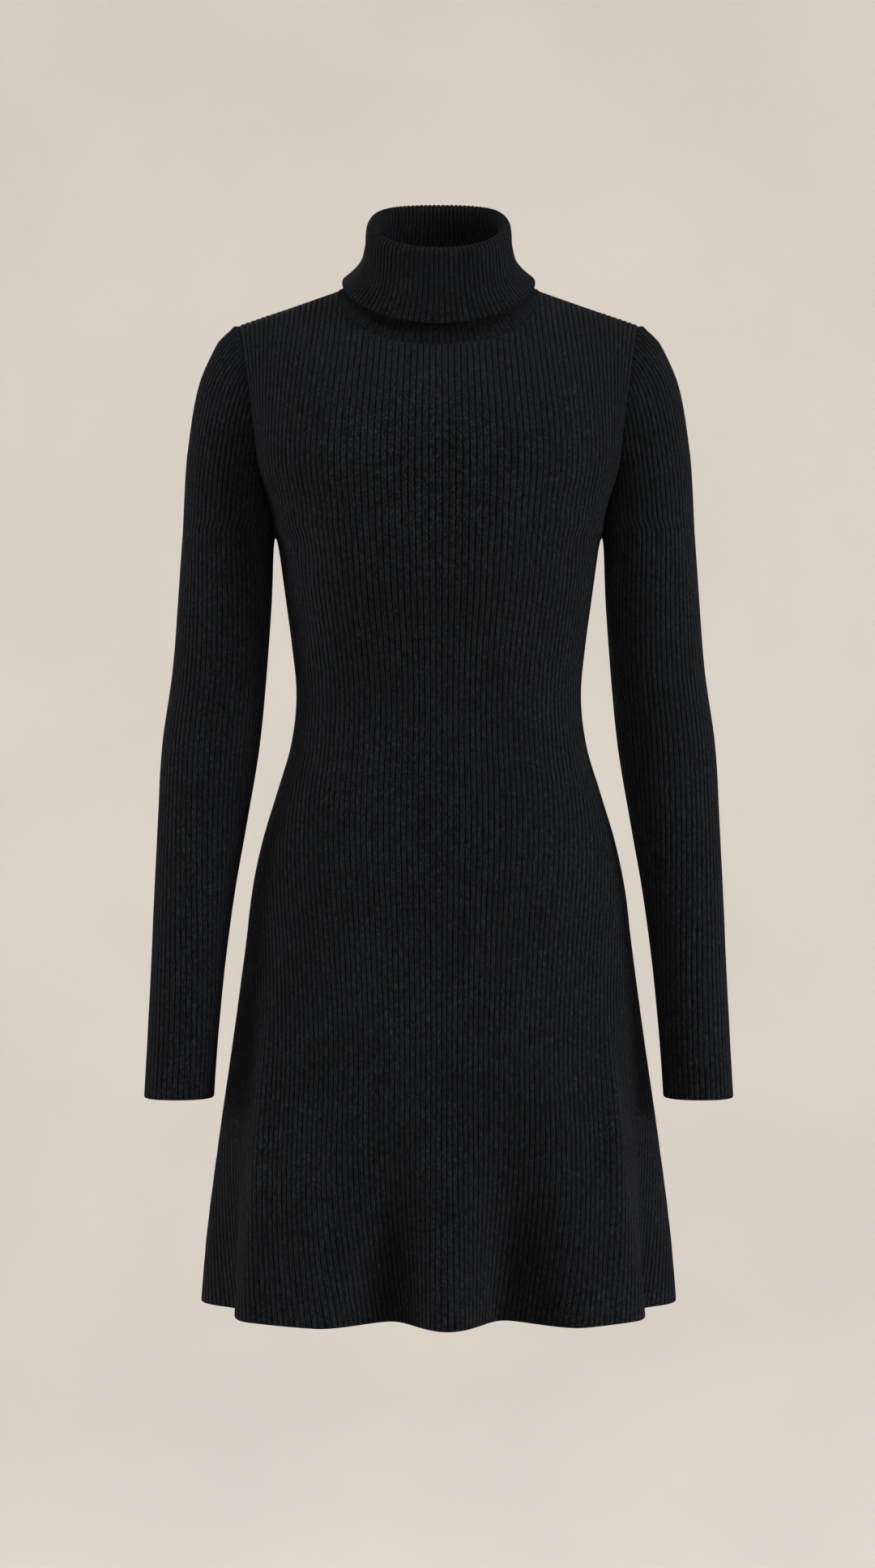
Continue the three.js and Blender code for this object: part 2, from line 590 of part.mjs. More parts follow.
function collar() {
  const surface = { rowOf: remembered(collarRow), lowest: 0, highest: 1, step: 0.02 };
  const atNeckline = (s, half, middle) => {
    const turn = Math.atan2(Math.abs(middle.x) / NECK.x, -middle.y / (middle.y < 0 ? NECK.front : NECK.back));
    return acrossNeckline(turn, Math.sign(middle.x) || 1).negate();
  };
  const rows = COLLAR_ROWS.map((at) => {
    const seam = { away: atNeckline, spare: NECK_SPARE, insideEvery: INSIDE_EVERY_COLLAR_SEAM };
    return wallRow(surface, at, { closed: true, ...(at === 0 ? seam : {}) });
  });
  return wall(rows);
}

function piece(name, geometry) {
  const cloth = new THREE.MeshStandardMaterial({ color: COLOUR, roughness: 0.95, metalness: 0 });
  const mesh = new THREE.Mesh(geometry, cloth);
  mesh.name = name;
  return mesh;
}

const dress = new THREE.Group();
dress.add(
  piece('front', panel('front')),
  piece('back', panel('back')),
  piece('sleeve_right', sleeve(false)),
  piece('sleeve_left', sleeve(true)),
  piece('collar', collar()),
);

export default dress;
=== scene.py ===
import math

import bmesh
import bpy
import numpy as np
from mathutils import Matrix, Vector


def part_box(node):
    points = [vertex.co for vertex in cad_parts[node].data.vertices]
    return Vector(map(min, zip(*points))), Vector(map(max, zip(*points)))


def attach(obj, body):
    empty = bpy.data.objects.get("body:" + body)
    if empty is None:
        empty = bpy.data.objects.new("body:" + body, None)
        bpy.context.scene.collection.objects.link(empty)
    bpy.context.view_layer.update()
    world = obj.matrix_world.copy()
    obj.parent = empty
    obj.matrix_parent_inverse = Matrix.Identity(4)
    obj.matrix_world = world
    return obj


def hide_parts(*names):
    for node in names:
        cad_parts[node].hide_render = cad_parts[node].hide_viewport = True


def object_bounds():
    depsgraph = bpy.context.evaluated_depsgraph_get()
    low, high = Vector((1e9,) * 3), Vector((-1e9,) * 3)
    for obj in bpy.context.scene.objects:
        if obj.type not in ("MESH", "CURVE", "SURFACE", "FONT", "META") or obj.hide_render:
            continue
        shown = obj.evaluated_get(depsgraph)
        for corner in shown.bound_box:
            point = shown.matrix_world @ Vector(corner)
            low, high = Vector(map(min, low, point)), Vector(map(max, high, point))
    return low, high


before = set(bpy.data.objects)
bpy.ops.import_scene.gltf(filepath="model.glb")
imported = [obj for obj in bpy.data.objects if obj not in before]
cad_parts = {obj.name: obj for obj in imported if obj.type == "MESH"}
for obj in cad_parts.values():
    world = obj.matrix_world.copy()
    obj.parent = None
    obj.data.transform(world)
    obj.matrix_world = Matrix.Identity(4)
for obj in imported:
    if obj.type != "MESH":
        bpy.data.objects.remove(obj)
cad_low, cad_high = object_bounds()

bl_info = {
    "name": "Rib-knit sweater dress",
    "version": (1, 0, 0),
    "blender": (4, 5, 0),
    "location": "View3D > Sidebar > Dress",
    "description": "Builds a worn, hollow rib-knit dress with a folded roll collar, and its studio",
    "category": "Add Mesh",
}

# Lengths in the tables and constants below are millimetres in the part's frame, and meshes are metres
MM = 0.001
FINE = 160  # steps in half a row of the smooth form, before the ribs are laid along it


def table(columns, *rows):
    """A table as one array for each of its named columns."""
    return dict(zip(columns.split(), np.array(rows, float).T))


# Heights that divide the body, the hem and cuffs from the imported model
HEM = round(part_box("front")[0].z / MM)
CUFF = round(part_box("sleeve_right")[0].z / MM, 1)
WAIST = -360
UNDERARM = -212
CHEST_LINE = -185

# Torso and skirt: half width, depth in front of and behind the side seams, roundness (2 is an ellipse)
# and the ribs across one panel
TORSO = table(
    "z wide front back round ribs",
    (HEM, 199.5, 131, 128, 2.0, 124),
    (-806, 195.0, 127, 125, 2.0, 121),
    (-723, 185.0, 121, 121, 2.03, 115),
    (-640, 173.3, 114.5, 117, 2.06, 108),
    (-557, 162.2, 108, 113, 2.1, 97),
    (-516, 157.4, 105, 110.5, 2.12, 91),
    (-475, 149.0, 100.5, 105, 2.14, 84),
    (-433, 136.4, 95, 96.5, 2.17, 78),
    (-392, 124.3, 91, 88, 2.2, 75),
    (-350, 119.7, 91, 84, 2.2, 74),
    (-309, 123.2, 98, 87, 2.22, 75),
    (-268, 128.7, 111, 93, 2.25, 77),
    (-226, 134.4, 121.5, 98, 2.3, 80),
    (-217, 136.4, 123, 99.2, 2.3, 80.5),
    (UNDERARM, 139.3, 123.5, 99.5, 2.3, 81),
    (CHEST_LINE, 146.5, 124.5, 101.5, 2.3, 82),
)

# Folds of the skirt, by angle from the middle of the panel: how far each stands out (or in) at the hem,
# and the height at which it starts
FOLDS = {
    "front": table(
        "angle out top",
        (-90, 1, -600),
        (-68, -19, -570),
        (-47, 18, -560),
        (-28, 19, -650),
        (-12, -29, -680),
        (2, 18, -700),
        (17, -31, -670),
        (33, 21, -640),
        (49, 17, -565),
        (68, -19, -575),
        (90, 1, -600),
    ),
    "back": table(
        "angle out top",
        (-90, 2, -600),
        (-65, -13, -590),
        (-43, 15, -580),
        (-24, -14, -640),
        (-5, 14, -620),
        (14, -16, -660),
        (36, 15, -600),
        (62, -14, -580),
        (90, 2, -600),
    ),
}
FOLD_GROWTH = 1.4  # power by which a fold deepens from its top to the hem

# Shoulders, neckline and armholes
SHOULDER_X, SHOULDER_Z = 169, -35.2
NECK_X, NECK_Z = 84, -5
NECK_SPARE = 0.3  # the neckline has no point nearer than this to its corner at the shoulder seam
TOP_RIBS = 73
RIB_CROWD = 0.045  # how much the ribs of the chest crowd towards the sides
NECKLINE = {
    "front": table(
        "x z",
        (0, -61),
        (20, -60.3),
        (40, -56.8),
        (56, -50.5),
        (68, -43),
        (76, -35),
        (81, -24),
        (83.4, -13),
        (NECK_X, NECK_Z),
    ),
    "back": table("x z", (0, 11), (30, 10.4), (50, 8.4), (66, 5), (76, 1), (NECK_X, NECK_Z)),
}
# The middle line of each panel above the chest, as if no neck were cut out of it
MIDDLE_LINE = {
    "front": table(
        "t depth z",
        (0, 124.5, CHEST_LINE),
        (0.2, 122.5, -146),
        (0.36, 113, -117),
        (0.5, 97, -92),
        (0.66, 70, -61),
        (0.78, 46, -36),
        (0.9, 20, -10),
        (1, 0, 8),
    ),
    "back": table(
        "t depth z",
        (0, 101.5, CHEST_LINE),
        (0.2, 101, -144),
        (0.4, 94, -98),
        (0.6, 81, -50),
        (0.75, 70, -13),
        (0.86, 58, 10),
        (1, 0, 30),
    ),
}
RIDGE_SLOPE = 0.374  # how steeply the shoulder seam falls from the neck
ARMHOLE_MIDDLE, ARMHOLE_HALF = -123.75, 88.25
ARMHOLE_DEPTH = {"front": 47, "back": 45}
ARMHOLE_ROUND = {"above": 1.85, "below": 1.25}
ARMHOLE_LINE = table(
    "z x",
    (UNDERARM, 139.5),
    (-205, 138),
    (-196, 139.6),
    (-184, 143.5),
    (-168, 148.3),
    (-152, 151.5),
    (-120, 155),
    (-76, 161.5),
    (SHOULDER_Z, SHOULDER_X),
)
BODY_PULL = 6  # the higher, the nearer to the armhole a row of the body bends to meet it

# The sleeve on the viewer's right: outermost, middle and innermost x, forward shift of the middle,
# depth before and behind it, and the ribs round it (in the cap, the angle at which it meets the armhole)
SLEEVE = table(
    "z out middle inner ahead front back ribs",
    (CUFF, 246.2, 218, 190.3, 34, 30, 30, 41),
    (-640, 243.5, 215, 187.0, 33, 31, 31, 42),
    (-578, 240.7, 211, 181.3, 29, 33, 33, 45),
    (-516, 238.6, 206, 173.5, 22, 36, 36, 50),
    (-454, 236.3, 200, 163.2, 13, 40, 39, 56),
    (-392, 233.4, 193.6, 153.4, 6, 43.5, 43, 60),
    (-330, 224.9, 186.3, 147.6, 3, 44.5, 44, 62),
    (-268, 220.2, 182, 143.4, 1, 46.5, 46, 65),
    (-226, 217.4, 180, 142.0, 0, 47.5, 46.5, 68),
    (-217, 216.8, 179.6, 141.2, 0, 47.8, 46.8, 68.5),
    (UNDERARM, 216.4, 179.5, 139.7, 0, 48, 47, 69),
)
CAP = table(
    "z out middle inner front back meets",
    (UNDERARM, 216.4, 179.5, 139.7, 48, 47, 180),
    (-200, 215.8, 179.5, 141.6, 48.5, 47.5, 160),
    (CHEST_LINE, 215.2, 178.8, 141.5, 49, 47.5, 143),
    (-160, 213.8, 176.5, 141, 49, 47.5, 120),
    (-139, 211.8, 174.5, 141, 49, 47, 103),
    (-88, 203.2, 171, 142, 42, 40.5, 89),
    (-52, 187.8, 170, 149, 26, 25, 87),
    (-44, 180.8, 169.4, 151, 18.5, 18, 87),
    (-38.3, 174.4, 169.1, 153, 11.5, 11, 88),
)
CAP_PITCH = 4.1  # from rib to rib in the cap
CAP_ROUND = 2.15
CAP_PULL = 3  # the higher, the nearer to the armhole a row of the cap bends to meet it
TIP_GAP, TIP_SIZE, TIP_RIBS = 0.3, 0.02, 0.5  # the cap's top: off the shoulder, size and ribs round it

# Collar: rings from the neckline seam up the inside, over the fold and down to the free edge. Half width,
# depths before and behind, and the height in front, at the sides and behind
COLLAR = table(
    "at wide front back z_front z_side z_back round",
    (0, 84, 70, 60, -61, NECK_Z, 11, 2),
    (0.1, 75, 66.5, 55.5, -47, -3, 22, 2),
    (0.22, 62, 61, 50, -28, 8, 38, 2.1),
    (0.36, 54, 54, 47, -2, 33, 59, 2.3),
    (0.46, 52.5, 50, 46, 16.5, 49, 72, 2.4),
    (0.5, 56, 53.5, 49.5, 22, 54, 76.5, 2.4),
    (0.54, 60, 57.5, 53.5, 17, 49, 72, 2.4),
    (0.7, 61.5, 62.5, 58, -2, 33, 55, 2.3),
    (0.85, 65.5, 70, 65, -23, 18, 37, 2.15),
    (0.93, 73, 74.5, 70, -34.3, 9, 28, 2.1),
    (1, 82, 78, 74, -44.2, 1.8, 20, 2.1),
)
COLLAR_RIBS = 99
COLLAR_PULL = 0.2  # share of the collar over which its rings leave the line of the neckline

# Creases: where each starts and ends, how wide it is and how far it stands out (or in), on the front panel
# and the sleeve on the viewer's right. The left has them mirrored, and the back has those of the front
SIDE_CREASES = (
    ((128, -48, -196), (100, -104, -262), 11, -2.2),
    ((133, -30, -216), (112, -84, -300), 10, -1.5),
    ((126, -60, -168), (92, -112, -206), 12, -1.3),
    ((112, -66, -372), (70, -88, -352), 12, -1.1),
    ((116, -50, -398), (84, -82, -412), 13, -1.0),
)
SLEEVE_CREASES = (
    ((152, -34, -392), (196, -52, -420), 11, -1.08),
    ((150, 20, -402), (182, 44, -430), 11, -0.84),
    ((156, -42, -430), (206, -54, -452), 12, -0.9),
    ((156, -30, -364), (186, -44, -378), 10, -0.72),
    ((146, -30, -236), (176, -46, -262), 11, -0.96),
    ((147, -24, -262), (184, -46, -300), 12, -0.72),
    ((146, 28, -240), (178, 45, -276), 12, -0.78),
    ((196, -64, -560), (222, -60, -578), 10, -0.6),
    ((192, -56, -618), (214, -64, -632), 9, -0.54),
)
# The sharp crests of the skirt's two outer folds, which run down past the hem
FOLD_CRESTS = (
    ((-141, -64, -600), (-148, -112, -1000), 9, 8.0),
    ((140, -70, -610), (147, -112, -1000), 9, 9.0),
)
BACK_REACH = 0.86  # how far behind the side seams the back's creases are, beside the front's before them
CREASE_SHIFT = (3, -4)  # how far a body crease's start and end move up on the right, and down on the left
CREASE_SHARES = {-1: 1.0, 1: 0.85}  # depth of the body's creases on the left and the right
CREASE_TAPER = (0.03, 0.97)  # outside these shares of its length a crease tapers no further

# The cloth across one rib: where its columns of points lie, in ribs from the crest, and the distance
# over which an edge rounds off, in millimetres
RIB_COLUMNS = (-0.5, -0.34, -0.13, 0.13, 0.34)
EDGE_ROUND = 1.7
EDGE_LEAST = 0.15  # share of the thickness that is left at the very edge
SEAM_ROUND = 1.3
SEAM_LEAST = 0.55  # the same at a seam
RIB_FADE = 3.4  # ribs are pressed flat over this distance beside a seam
RIB_PRESSED = 0.45  # height of the pressed cloth beside a seam, as a share of a rib's
RIB_FLAT, RIB_SHARP = 4, 0.8  # powers of a rib's section: how flat its crest is, and how sharp its sides
RIB_UNEVEN = 0.08  # how much a rib's height changes along it, as a share
UNEVEN_FADE = 8  # the same change fades over this distance beside a seam
SWAY = 0.045  # how far a rib wanders from its line, in ribs
SWAY_FADE = 3  # the same wandering fades over this many ribs beside a seam
MERGE = 2e-6  # points nearer than this are one, in metres

# Rows of the cloth: close to an edge, in millimetres from it, at the foot of the armhole, and else the
# first place, the last place and the number of rows of each stretch
EDGE_STEPS = np.array([0, 0.35, 0.9, 1.8])
SEAM_ROWS = (UNDERARM, -203, -194)
BODY_ROWS = (HEM + 9, UNDERARM - 6, 72)
CHEST_ROWS = (0, 0.965, 19)  # in shares of the way from the chest line to the top edge
SLEEVE_ROWS = (CUFF + 8, UNDERARM - 5, 58)
CAP_ROWS = (0, 0.91, 18)  # in shares of the way from the chest line to the shoulder
COLLAR_EDGE = np.array([0, 0.002, 0.005, 0.01])
COLLAR_ROWS = ((0.03, 0.42, 17), (0.44, 0.56, 9), (0.58, 0.97, 17))

# The linking stitches between neckline and collar
LINK_PITCH = 2.3  # from one stitch to the next
LINK_SIZE = (1.35, 0.62, 0.55)  # half length, width and height of a stitch
LINK_SLANT = math.radians(24)
LINK_SIDE, LINK_UP = 0.55, 0.45  # how far a stitch faces sideways and up, beside forward or back
LINK_SEAT = 0.6  # height of a stitch's middle, as a share of the outer ribs'
LINK_STEP = 0.5  # half the stretch of neckline that gives a stitch its direction

# The stitches of the knit, in ribs from the crest and in stitches
GROOVE_START, GROOVE_END = 0.31, 0.48
WALE_WIDTH = 0.4
LEG_SLANT = 0.55  # how much higher a leg of a V stitch is at its outer end
LEG_RELIEF = 0.25  # half the depth between two stitches, as a share of their height
LEG_ROUND = 0.45  # how much lower a wale is at its sides
SPECULAR = 0.02
SHEEN_ROUGHNESS, SHEEN_TINT = 0.45, (0.55, 0.57, 0.62, 1)
BUMP_STRENGTH, BUMP_DEPTH = 0.8, 0.0007

# The studio, in metres: radius of the bend between floor and wall, the wall's height, the steps of the
# bend and of the whole circle, the lamps (name, place and size) and the camera
BEND, WALL = 3.0, 6.5
BEND_STEPS, ROUND_STEPS = 12, 96
LAMPS = (
    ("right", (3.2, -1.7, 0.3), 1.5),
    ("left", (-3.4, -0.4, 0.0), 1.5),
    ("top", (0.0, -4.0, 4.4), 2.6),
    ("back", (-1.0, 3.6, 1.2), 2.0),
)
LAMP_TINT = (1, 0.99, 0.98)
ROOM_TINT = (1, 0.98, 0.95, 1)
EYE_X, EYE_Z = -0.001, -0.4247
LENS, SENSOR = 70.1, 36


def read(tab, key, at, name):
    """A smooth curve through one named column of a table, at one place of its key column."""
    keys, values = tab[key], tab[name]
    last = len(keys) - 1
    i = int(np.clip(np.searchsorted(keys, at, side="right") - 1, 0, last - 1))
    before, after = max(i - 1, 0), min(i + 2, last)
    span = keys[i + 1] - keys[i]
    u = min(max((at - keys[i]) / span, 0), 1)
    slope_in = span * (values[i + 1] - values[before]) / (keys[i + 1] - keys[before])
    slope_out = span * (values[after] - values[i]) / (keys[after] - keys[i])
    return (
        (2 * u**3 - 3 * u**2 + 1) * values[i]
        + (u**3 - 2 * u**2 + u) * slope_in
        + (3 * u**2 - 2 * u**3) * values[i + 1]
        + (u**3 - u**2) * slope_out
    )


def read_many(tab, key, places, name):
    """The same curve at many places."""
    return np.array([read(tab, key, at, name) for at in places])


def smooth(share):
    """A share from 0 to 1 that starts and ends gently."""
    share = np.clip(share, 0, 1)
    return share * share * (3 - 2 * share)


def points(x, y, z):
    """Points from their coordinates, any of which may be one number for all."""
    return np.stack(np.broadcast_arrays(x, y, z), axis=-1).astype(float)


def run_along(line):
    """How far each point of a line is from its start."""
    steps = np.linalg.norm(np.diff(line, axis=0), axis=1)
    return np.concatenate([[0], np.cumsum(steps)])


def resampled(line, goal, run):
    """The points of a line at the goal's distances along it, where run has those of its own points."""
    return np.stack([np.interp(goal, run, line[:, k]) for k in range(3)], axis=-1)


def spaced(line):
    """The same line as evenly spaced points."""
    run = run_along(line)
    return resampled(line, np.linspace(0, run[-1], FINE + 1), run)


# The body


def fold_out(folds, angle, z):
    """How far the skirt's folds stand out at each angle of a level section."""
    rise = np.clip((folds["top"] - z) / (folds["top"] - HEM), 0, 1) ** FOLD_GROWTH
    out = folds["out"] * rise
    i = np.clip(np.searchsorted(folds["angle"], angle, side="right") - 1, 0, len(out) - 2)
    start, end = folds["angle"][i], folds["angle"][i + 1]
    return out[i] + (out[i + 1] - out[i]) * smooth((angle - start) / (end - start))


def armhole_at(side, z):
    """Where the armhole is at a height: x, and the depth from the shoulder seam's plane."""
    share = min(abs(z - ARMHOLE_MIDDLE) / ARMHOLE_HALF, 1)
    power = ARMHOLE_ROUND["above" if z > ARMHOLE_MIDDLE else "below"]
    depth = ARMHOLE_DEPTH[side] * (1 - share**power) ** (1 / power)
    return read(ARMHOLE_LINE, "z", z, "x"), depth


def armhole_height(t):
    """Height on the armhole at a share of the way from the chest line to the shoulder."""
    start = math.acos((CHEST_LINE - ARMHOLE_MIDDLE) / ARMHOLE_HALF)
    return ARMHOLE_MIDDLE + ARMHOLE_HALF * math.cos(start * (1 - t))


def section_half(side, sign, z, fold_share):
    """One half of a level section of the torso or skirt, from the middle to the side seam or armhole,
    and the share of the whole half that it is."""
    wide, deep = read(TORSO, "z", z, "wide"), read(TORSO, "z", z, side)
    power = 2 / read(TORSO, "z", z, "round")
    turn = np.linspace(0, math.pi / 2, FINE + 1)
    x = wide * np.sin(turn) ** power
    depth = deep * np.clip(np.cos(turn), 0, 1) ** power
    out = fold_share * fold_out(FOLDS[side], sign * np.degrees(turn), z)
    lean = np.hypot(x / wide**2, depth / deep**2)
    x, depth = x + out * x / wide**2 / lean, depth + out * depth / deep**2 / lean
    facing = -1 if side == "front" else 1
    line = points(sign * x, facing * depth, z)
    if z <= UNDERARM:
        return spaced(line), 1
    arm_x, arm_depth = armhole_at(side, z)
    kept = line[: np.count_nonzero(depth >= arm_depth) + 1]
    shift = np.array([sign * arm_x, facing * arm_depth, z]) - kept[-1]
    share = run_along(kept)[-1] / run_along(line)[-1]
    kept = kept + shift * np.linspace(0, 1, len(kept))[:, None] ** BODY_PULL
    return spaced(kept), share


def ridge_height(side, x):
    """Height of the shoulder seam, carried on smoothly across the neck opening."""
    over_neck = np.clip(NECK_X - x, 0, None)
    rise = MIDDLE_LINE[side]["z"][-1] - NECK_Z
    bend = (RIDGE_SLOPE * NECK_X - rise) / NECK_X**2
    fall = (NECK_Z - SHOULDER_Z) / (SHOULDER_X - NECK_X)
    return NECK_Z + RIDGE_SLOPE * over_neck - bend * over_neck**2 - fall * np.clip(x - NECK_X, 0, None)


def upper_half(side, sign, shares):
    """Rows of half a panel above the chest line, as a smooth patch between the chest, the middle line,
    the shoulder ridge and the armhole, cut off at the neckline."""
    facing = -1 if side == "front" else 1
    base, _ = section_half(side, sign, CHEST_LINE, 0)
    q = t = np.linspace(0, 1, FINE + 1)
    ridge = points(sign * SHOULDER_X * q, 0, ridge_height(side, SHOULDER_X * q))
    middle_depth = read_many(MIDDLE_LINE[side], "t", t, "depth")
    middle = points(0, facing * middle_depth, read_many(MIDDLE_LINE[side], "t", t, "z"))
    heights = [armhole_height(a) for a in t]
    arm = np.array([armhole_at(side, z) for z in heights])
    armhole = points(sign * arm[:, 0], facing * arm[:, 1], heights)
    up, over = smooth(t)[:, None, None], smooth(q)[None, :, None]
    patch = (1 - up) * base + up * ridge
    corners_in = (1 - up) * base[0] + up * ridge[0]
    corners_out = (1 - up) * base[-1] + up * ridge[-1]
    patch = patch + (1 - over) * (middle[:, None] - corners_in) + over * (armhole[:, None] - corners_out)
    rows = np.empty((len(shares), FINE + 1, 3))
    line = NECKLINE[side]
    for i in range(FINE + 1):
        column = patch[:, i]
        reach = np.abs(column[:, 0])
        inside = (reach < NECK_X) & (column[:, 2] > np.interp(reach, line["x"], line["z"]))
        end = 1.0
        if inside.any():
            k = int(np.argmax(inside))
            gap = column[:, 2] - np.interp(reach, line["x"], line["z"])
            end = t[k - 1] + (t[k] - t[k - 1]) * gap[k - 1] / (gap[k - 1] - gap[k])
        rows[:, i] = resampled(column, np.array(shares) * end, t)
    return rows


def neckline_half(side, sign):
    """The edge of half a panel round the neck, from the shoulder seam to the middle."""
    top = upper_half(side, sign, [1])[0]
    corner = np.array([sign * NECK_X, 0, NECK_Z])
    kept = top[np.abs(top[:, 0]) < NECK_X - NECK_SPARE]
    return np.vstack([corner, kept[::-1]])


def neckline_seam(sign):
    """One side of the neckline, from the middle of the back to the middle of the front."""
    back, front = neckline_half("back", sign), neckline_half("front", sign)
    return np.vstack([back[:0:-1], front])


def body_rows(side, fold_share):
    """All the rows of a panel from the hem to the neckline and shoulder seams, with half the ribs on each."""
    left = 1 if side == "front" else -1
    heights = [*(HEM + EDGE_STEPS), *np.linspace(*BODY_ROWS), *SEAM_ROWS]
    rows, ribs = [], []
    for z in heights:
        (minus, _), (plus, share) = (section_half(side, sign * left, z, fold_share) for sign in (-1, 1))
        rows.append(np.vstack([minus[::-1], plus[1:]]))
        ribs.append(read(TORSO, "z", z, "ribs") * share)
    _, chest_share = section_half(side, 1, CHEST_LINE, 0)
    chest_ribs = read(TORSO, "z", CHEST_LINE, "ribs") * chest_share
    reach = CHEST_LINE - SHOULDER_Z
    shares = [*np.linspace(*CHEST_ROWS), *(1 + EDGE_STEPS[:0:-1] / reach), 1]
    minus, plus = (upper_half(side, sign * left, shares) for sign in (-1, 1))
    rows += [np.vstack([m[::-1], p[1:]]) for m, p in zip(minus, plus)]
    ribs += [chest_ribs + (TOP_RIBS - chest_ribs) * share for share in shares]
    q = np.linspace(-1, 1, 2 * FINE + 1)
    levels = [*heights, *([CHEST_LINE] * len(shares))]
    for k, z in enumerate(levels):
        crowd = RIB_CROWD * smooth((z - WAIST) / (CHEST_LINE - WAIST))
        rows[k] = resampled(rows[k], q * (1 + crowd * (1 - q**2)), q)
    return np.array(rows), np.array(ribs) / 2


# The sleeves


def sleeve_half(side, z):
    """The front or back half of a level ring of the sleeve, from its outermost line to its seam."""
    cap = z > UNDERARM
    tab = CAP if cap else SLEEVE
    out, middle, inner, deep = (read(tab, "z", z, name) for name in ("out", "middle", "inner", side))
    end = math.radians(read(CAP, "z", z, "meets")) if cap else math.pi
    ahead = 0 if cap else read(SLEEVE, "z", z, "ahead")
    turn = np.linspace(0, end, FINE + 1)
    across = np.cos(turn)
    reach = np.where(across > 0, out - middle, middle - inner)
    power = 2 / CAP_ROUND
    facing = -1 if side == "front" else 1
    x = middle + reach * np.sign(across) * np.abs(across) ** power
    line = points(x, facing * deep * np.abs(np.sin(turn)) ** power - ahead, z)
    if cap:
        arm_x, arm_depth = armhole_at(side, z)
        shift = np.array([arm_x, facing * arm_depth, z]) - line[-1]
        line = line + shift * np.linspace(0, 1, FINE + 1)[:, None] ** CAP_PULL
    return line


def sleeve_rows():
    """Rows of the right sleeve from the cuff to the shoulder, with half the ribs on each."""
    heights = [*(CUFF + EDGE_STEPS), *np.linspace(*SLEEVE_ROWS), *SEAM_ROWS]
    heights += [armhole_height(t) for t in np.linspace(*CAP_ROWS)]
    rows, ribs = [], []
    for z in heights:
        front, back = spaced(sleeve_half("front", z)), spaced(sleeve_half("back", z))
        rows.append(np.vstack([front[::-1], back[1:]]))
        round_cap = 2 * run_along(back)[-1] / CAP_PITCH
        ribs.append(round_cap if z > UNDERARM else read(SLEEVE, "z", z, "ribs"))
    tip = np.array([SHOULDER_X + TIP_GAP, 0, SHOULDER_Z - TIP_GAP])
    rows.append(tip + (rows[-1] - tip) * TIP_SIZE)
    ribs.append(TIP_RIBS)
    return np.array(rows), np.array(ribs) / 2


# The collar


def collar_rows():
    """Rings of the collar from the neckline seam to its free edge, each from the front round to the front."""
    stretches = [np.linspace(*stretch) for stretch in COLLAR_ROWS]
    ats = np.concatenate([COLLAR_EDGE, *stretches, 1 - COLLAR_EDGE[::-1]])
    seams = {sign: spaced(neckline_seam(sign)) for sign in (-1, 1)}
    rows = []
    for at in ats:
        value = {name: read(COLLAR, "at", at, name) for name in COLLAR}
        power = 2 / value["round"]
        turn = math.pi * (1 - np.linspace(0, 1, FINE + 1))
        forward = np.sign(np.cos(turn)) * np.abs(np.cos(turn)) ** power
        tilt = (value["z_front"] - value["z_back"]) / 2
        dip = (value["z_front"] + value["z_back"]) / 2 - value["z_side"]
        height = value["z_side"] + tilt * forward + dip * forward**2
        depth = np.where(forward > 0, value["front"], value["back"]) * forward
        share = max(1 - at / COLLAR_PULL, 0) ** 2
        halves = {}
        for sign in (-1, 1):
            x = sign * value["wide"] * np.clip(np.sin(turn), 0, 1) ** power
            plain = spaced(points(x, -depth, height))
            halves[sign] = plain + (seams[sign] - plain) * share
        rows.append(np.vstack([halves[-1][::-1], halves[1][1:]]))
    return np.array(rows), np.full(len(rows), COLLAR_RIBS / 2)


# Cloth from rows


def crest(s):
    """Height of a rib, from 0 in the groove to 1 on the wide crest, by place across the ribs."""
    away = np.abs(s - np.round(s)) * 2
    return (1 - np.clip(away, 0, 1) ** RIB_FLAT) ** RIB_SHARP


def rounded(distance, reach=EDGE_ROUND, least=EDGE_LEAST):
    """Share of the cloth's thickness at a distance from its edge, as a round edge has it."""
    share = 1 - np.clip(distance / reach, 0, 1)
    return least + (1 - least) * np.sqrt(1 - share**2)


def uneven(rib, along):
    """A slow wave along each rib, different from its neighbours', between -1 and 1."""
    return np.sin(1.7 * rib + along / 9) * np.sin(0.9 * rib + along / 23 + 1.3)


def unit(vectors):
    """Vectors made one long, where they aren't nought."""
    return vectors / np.maximum(np.linalg.norm(vectors, axis=-1, keepdims=True), 1e-9)


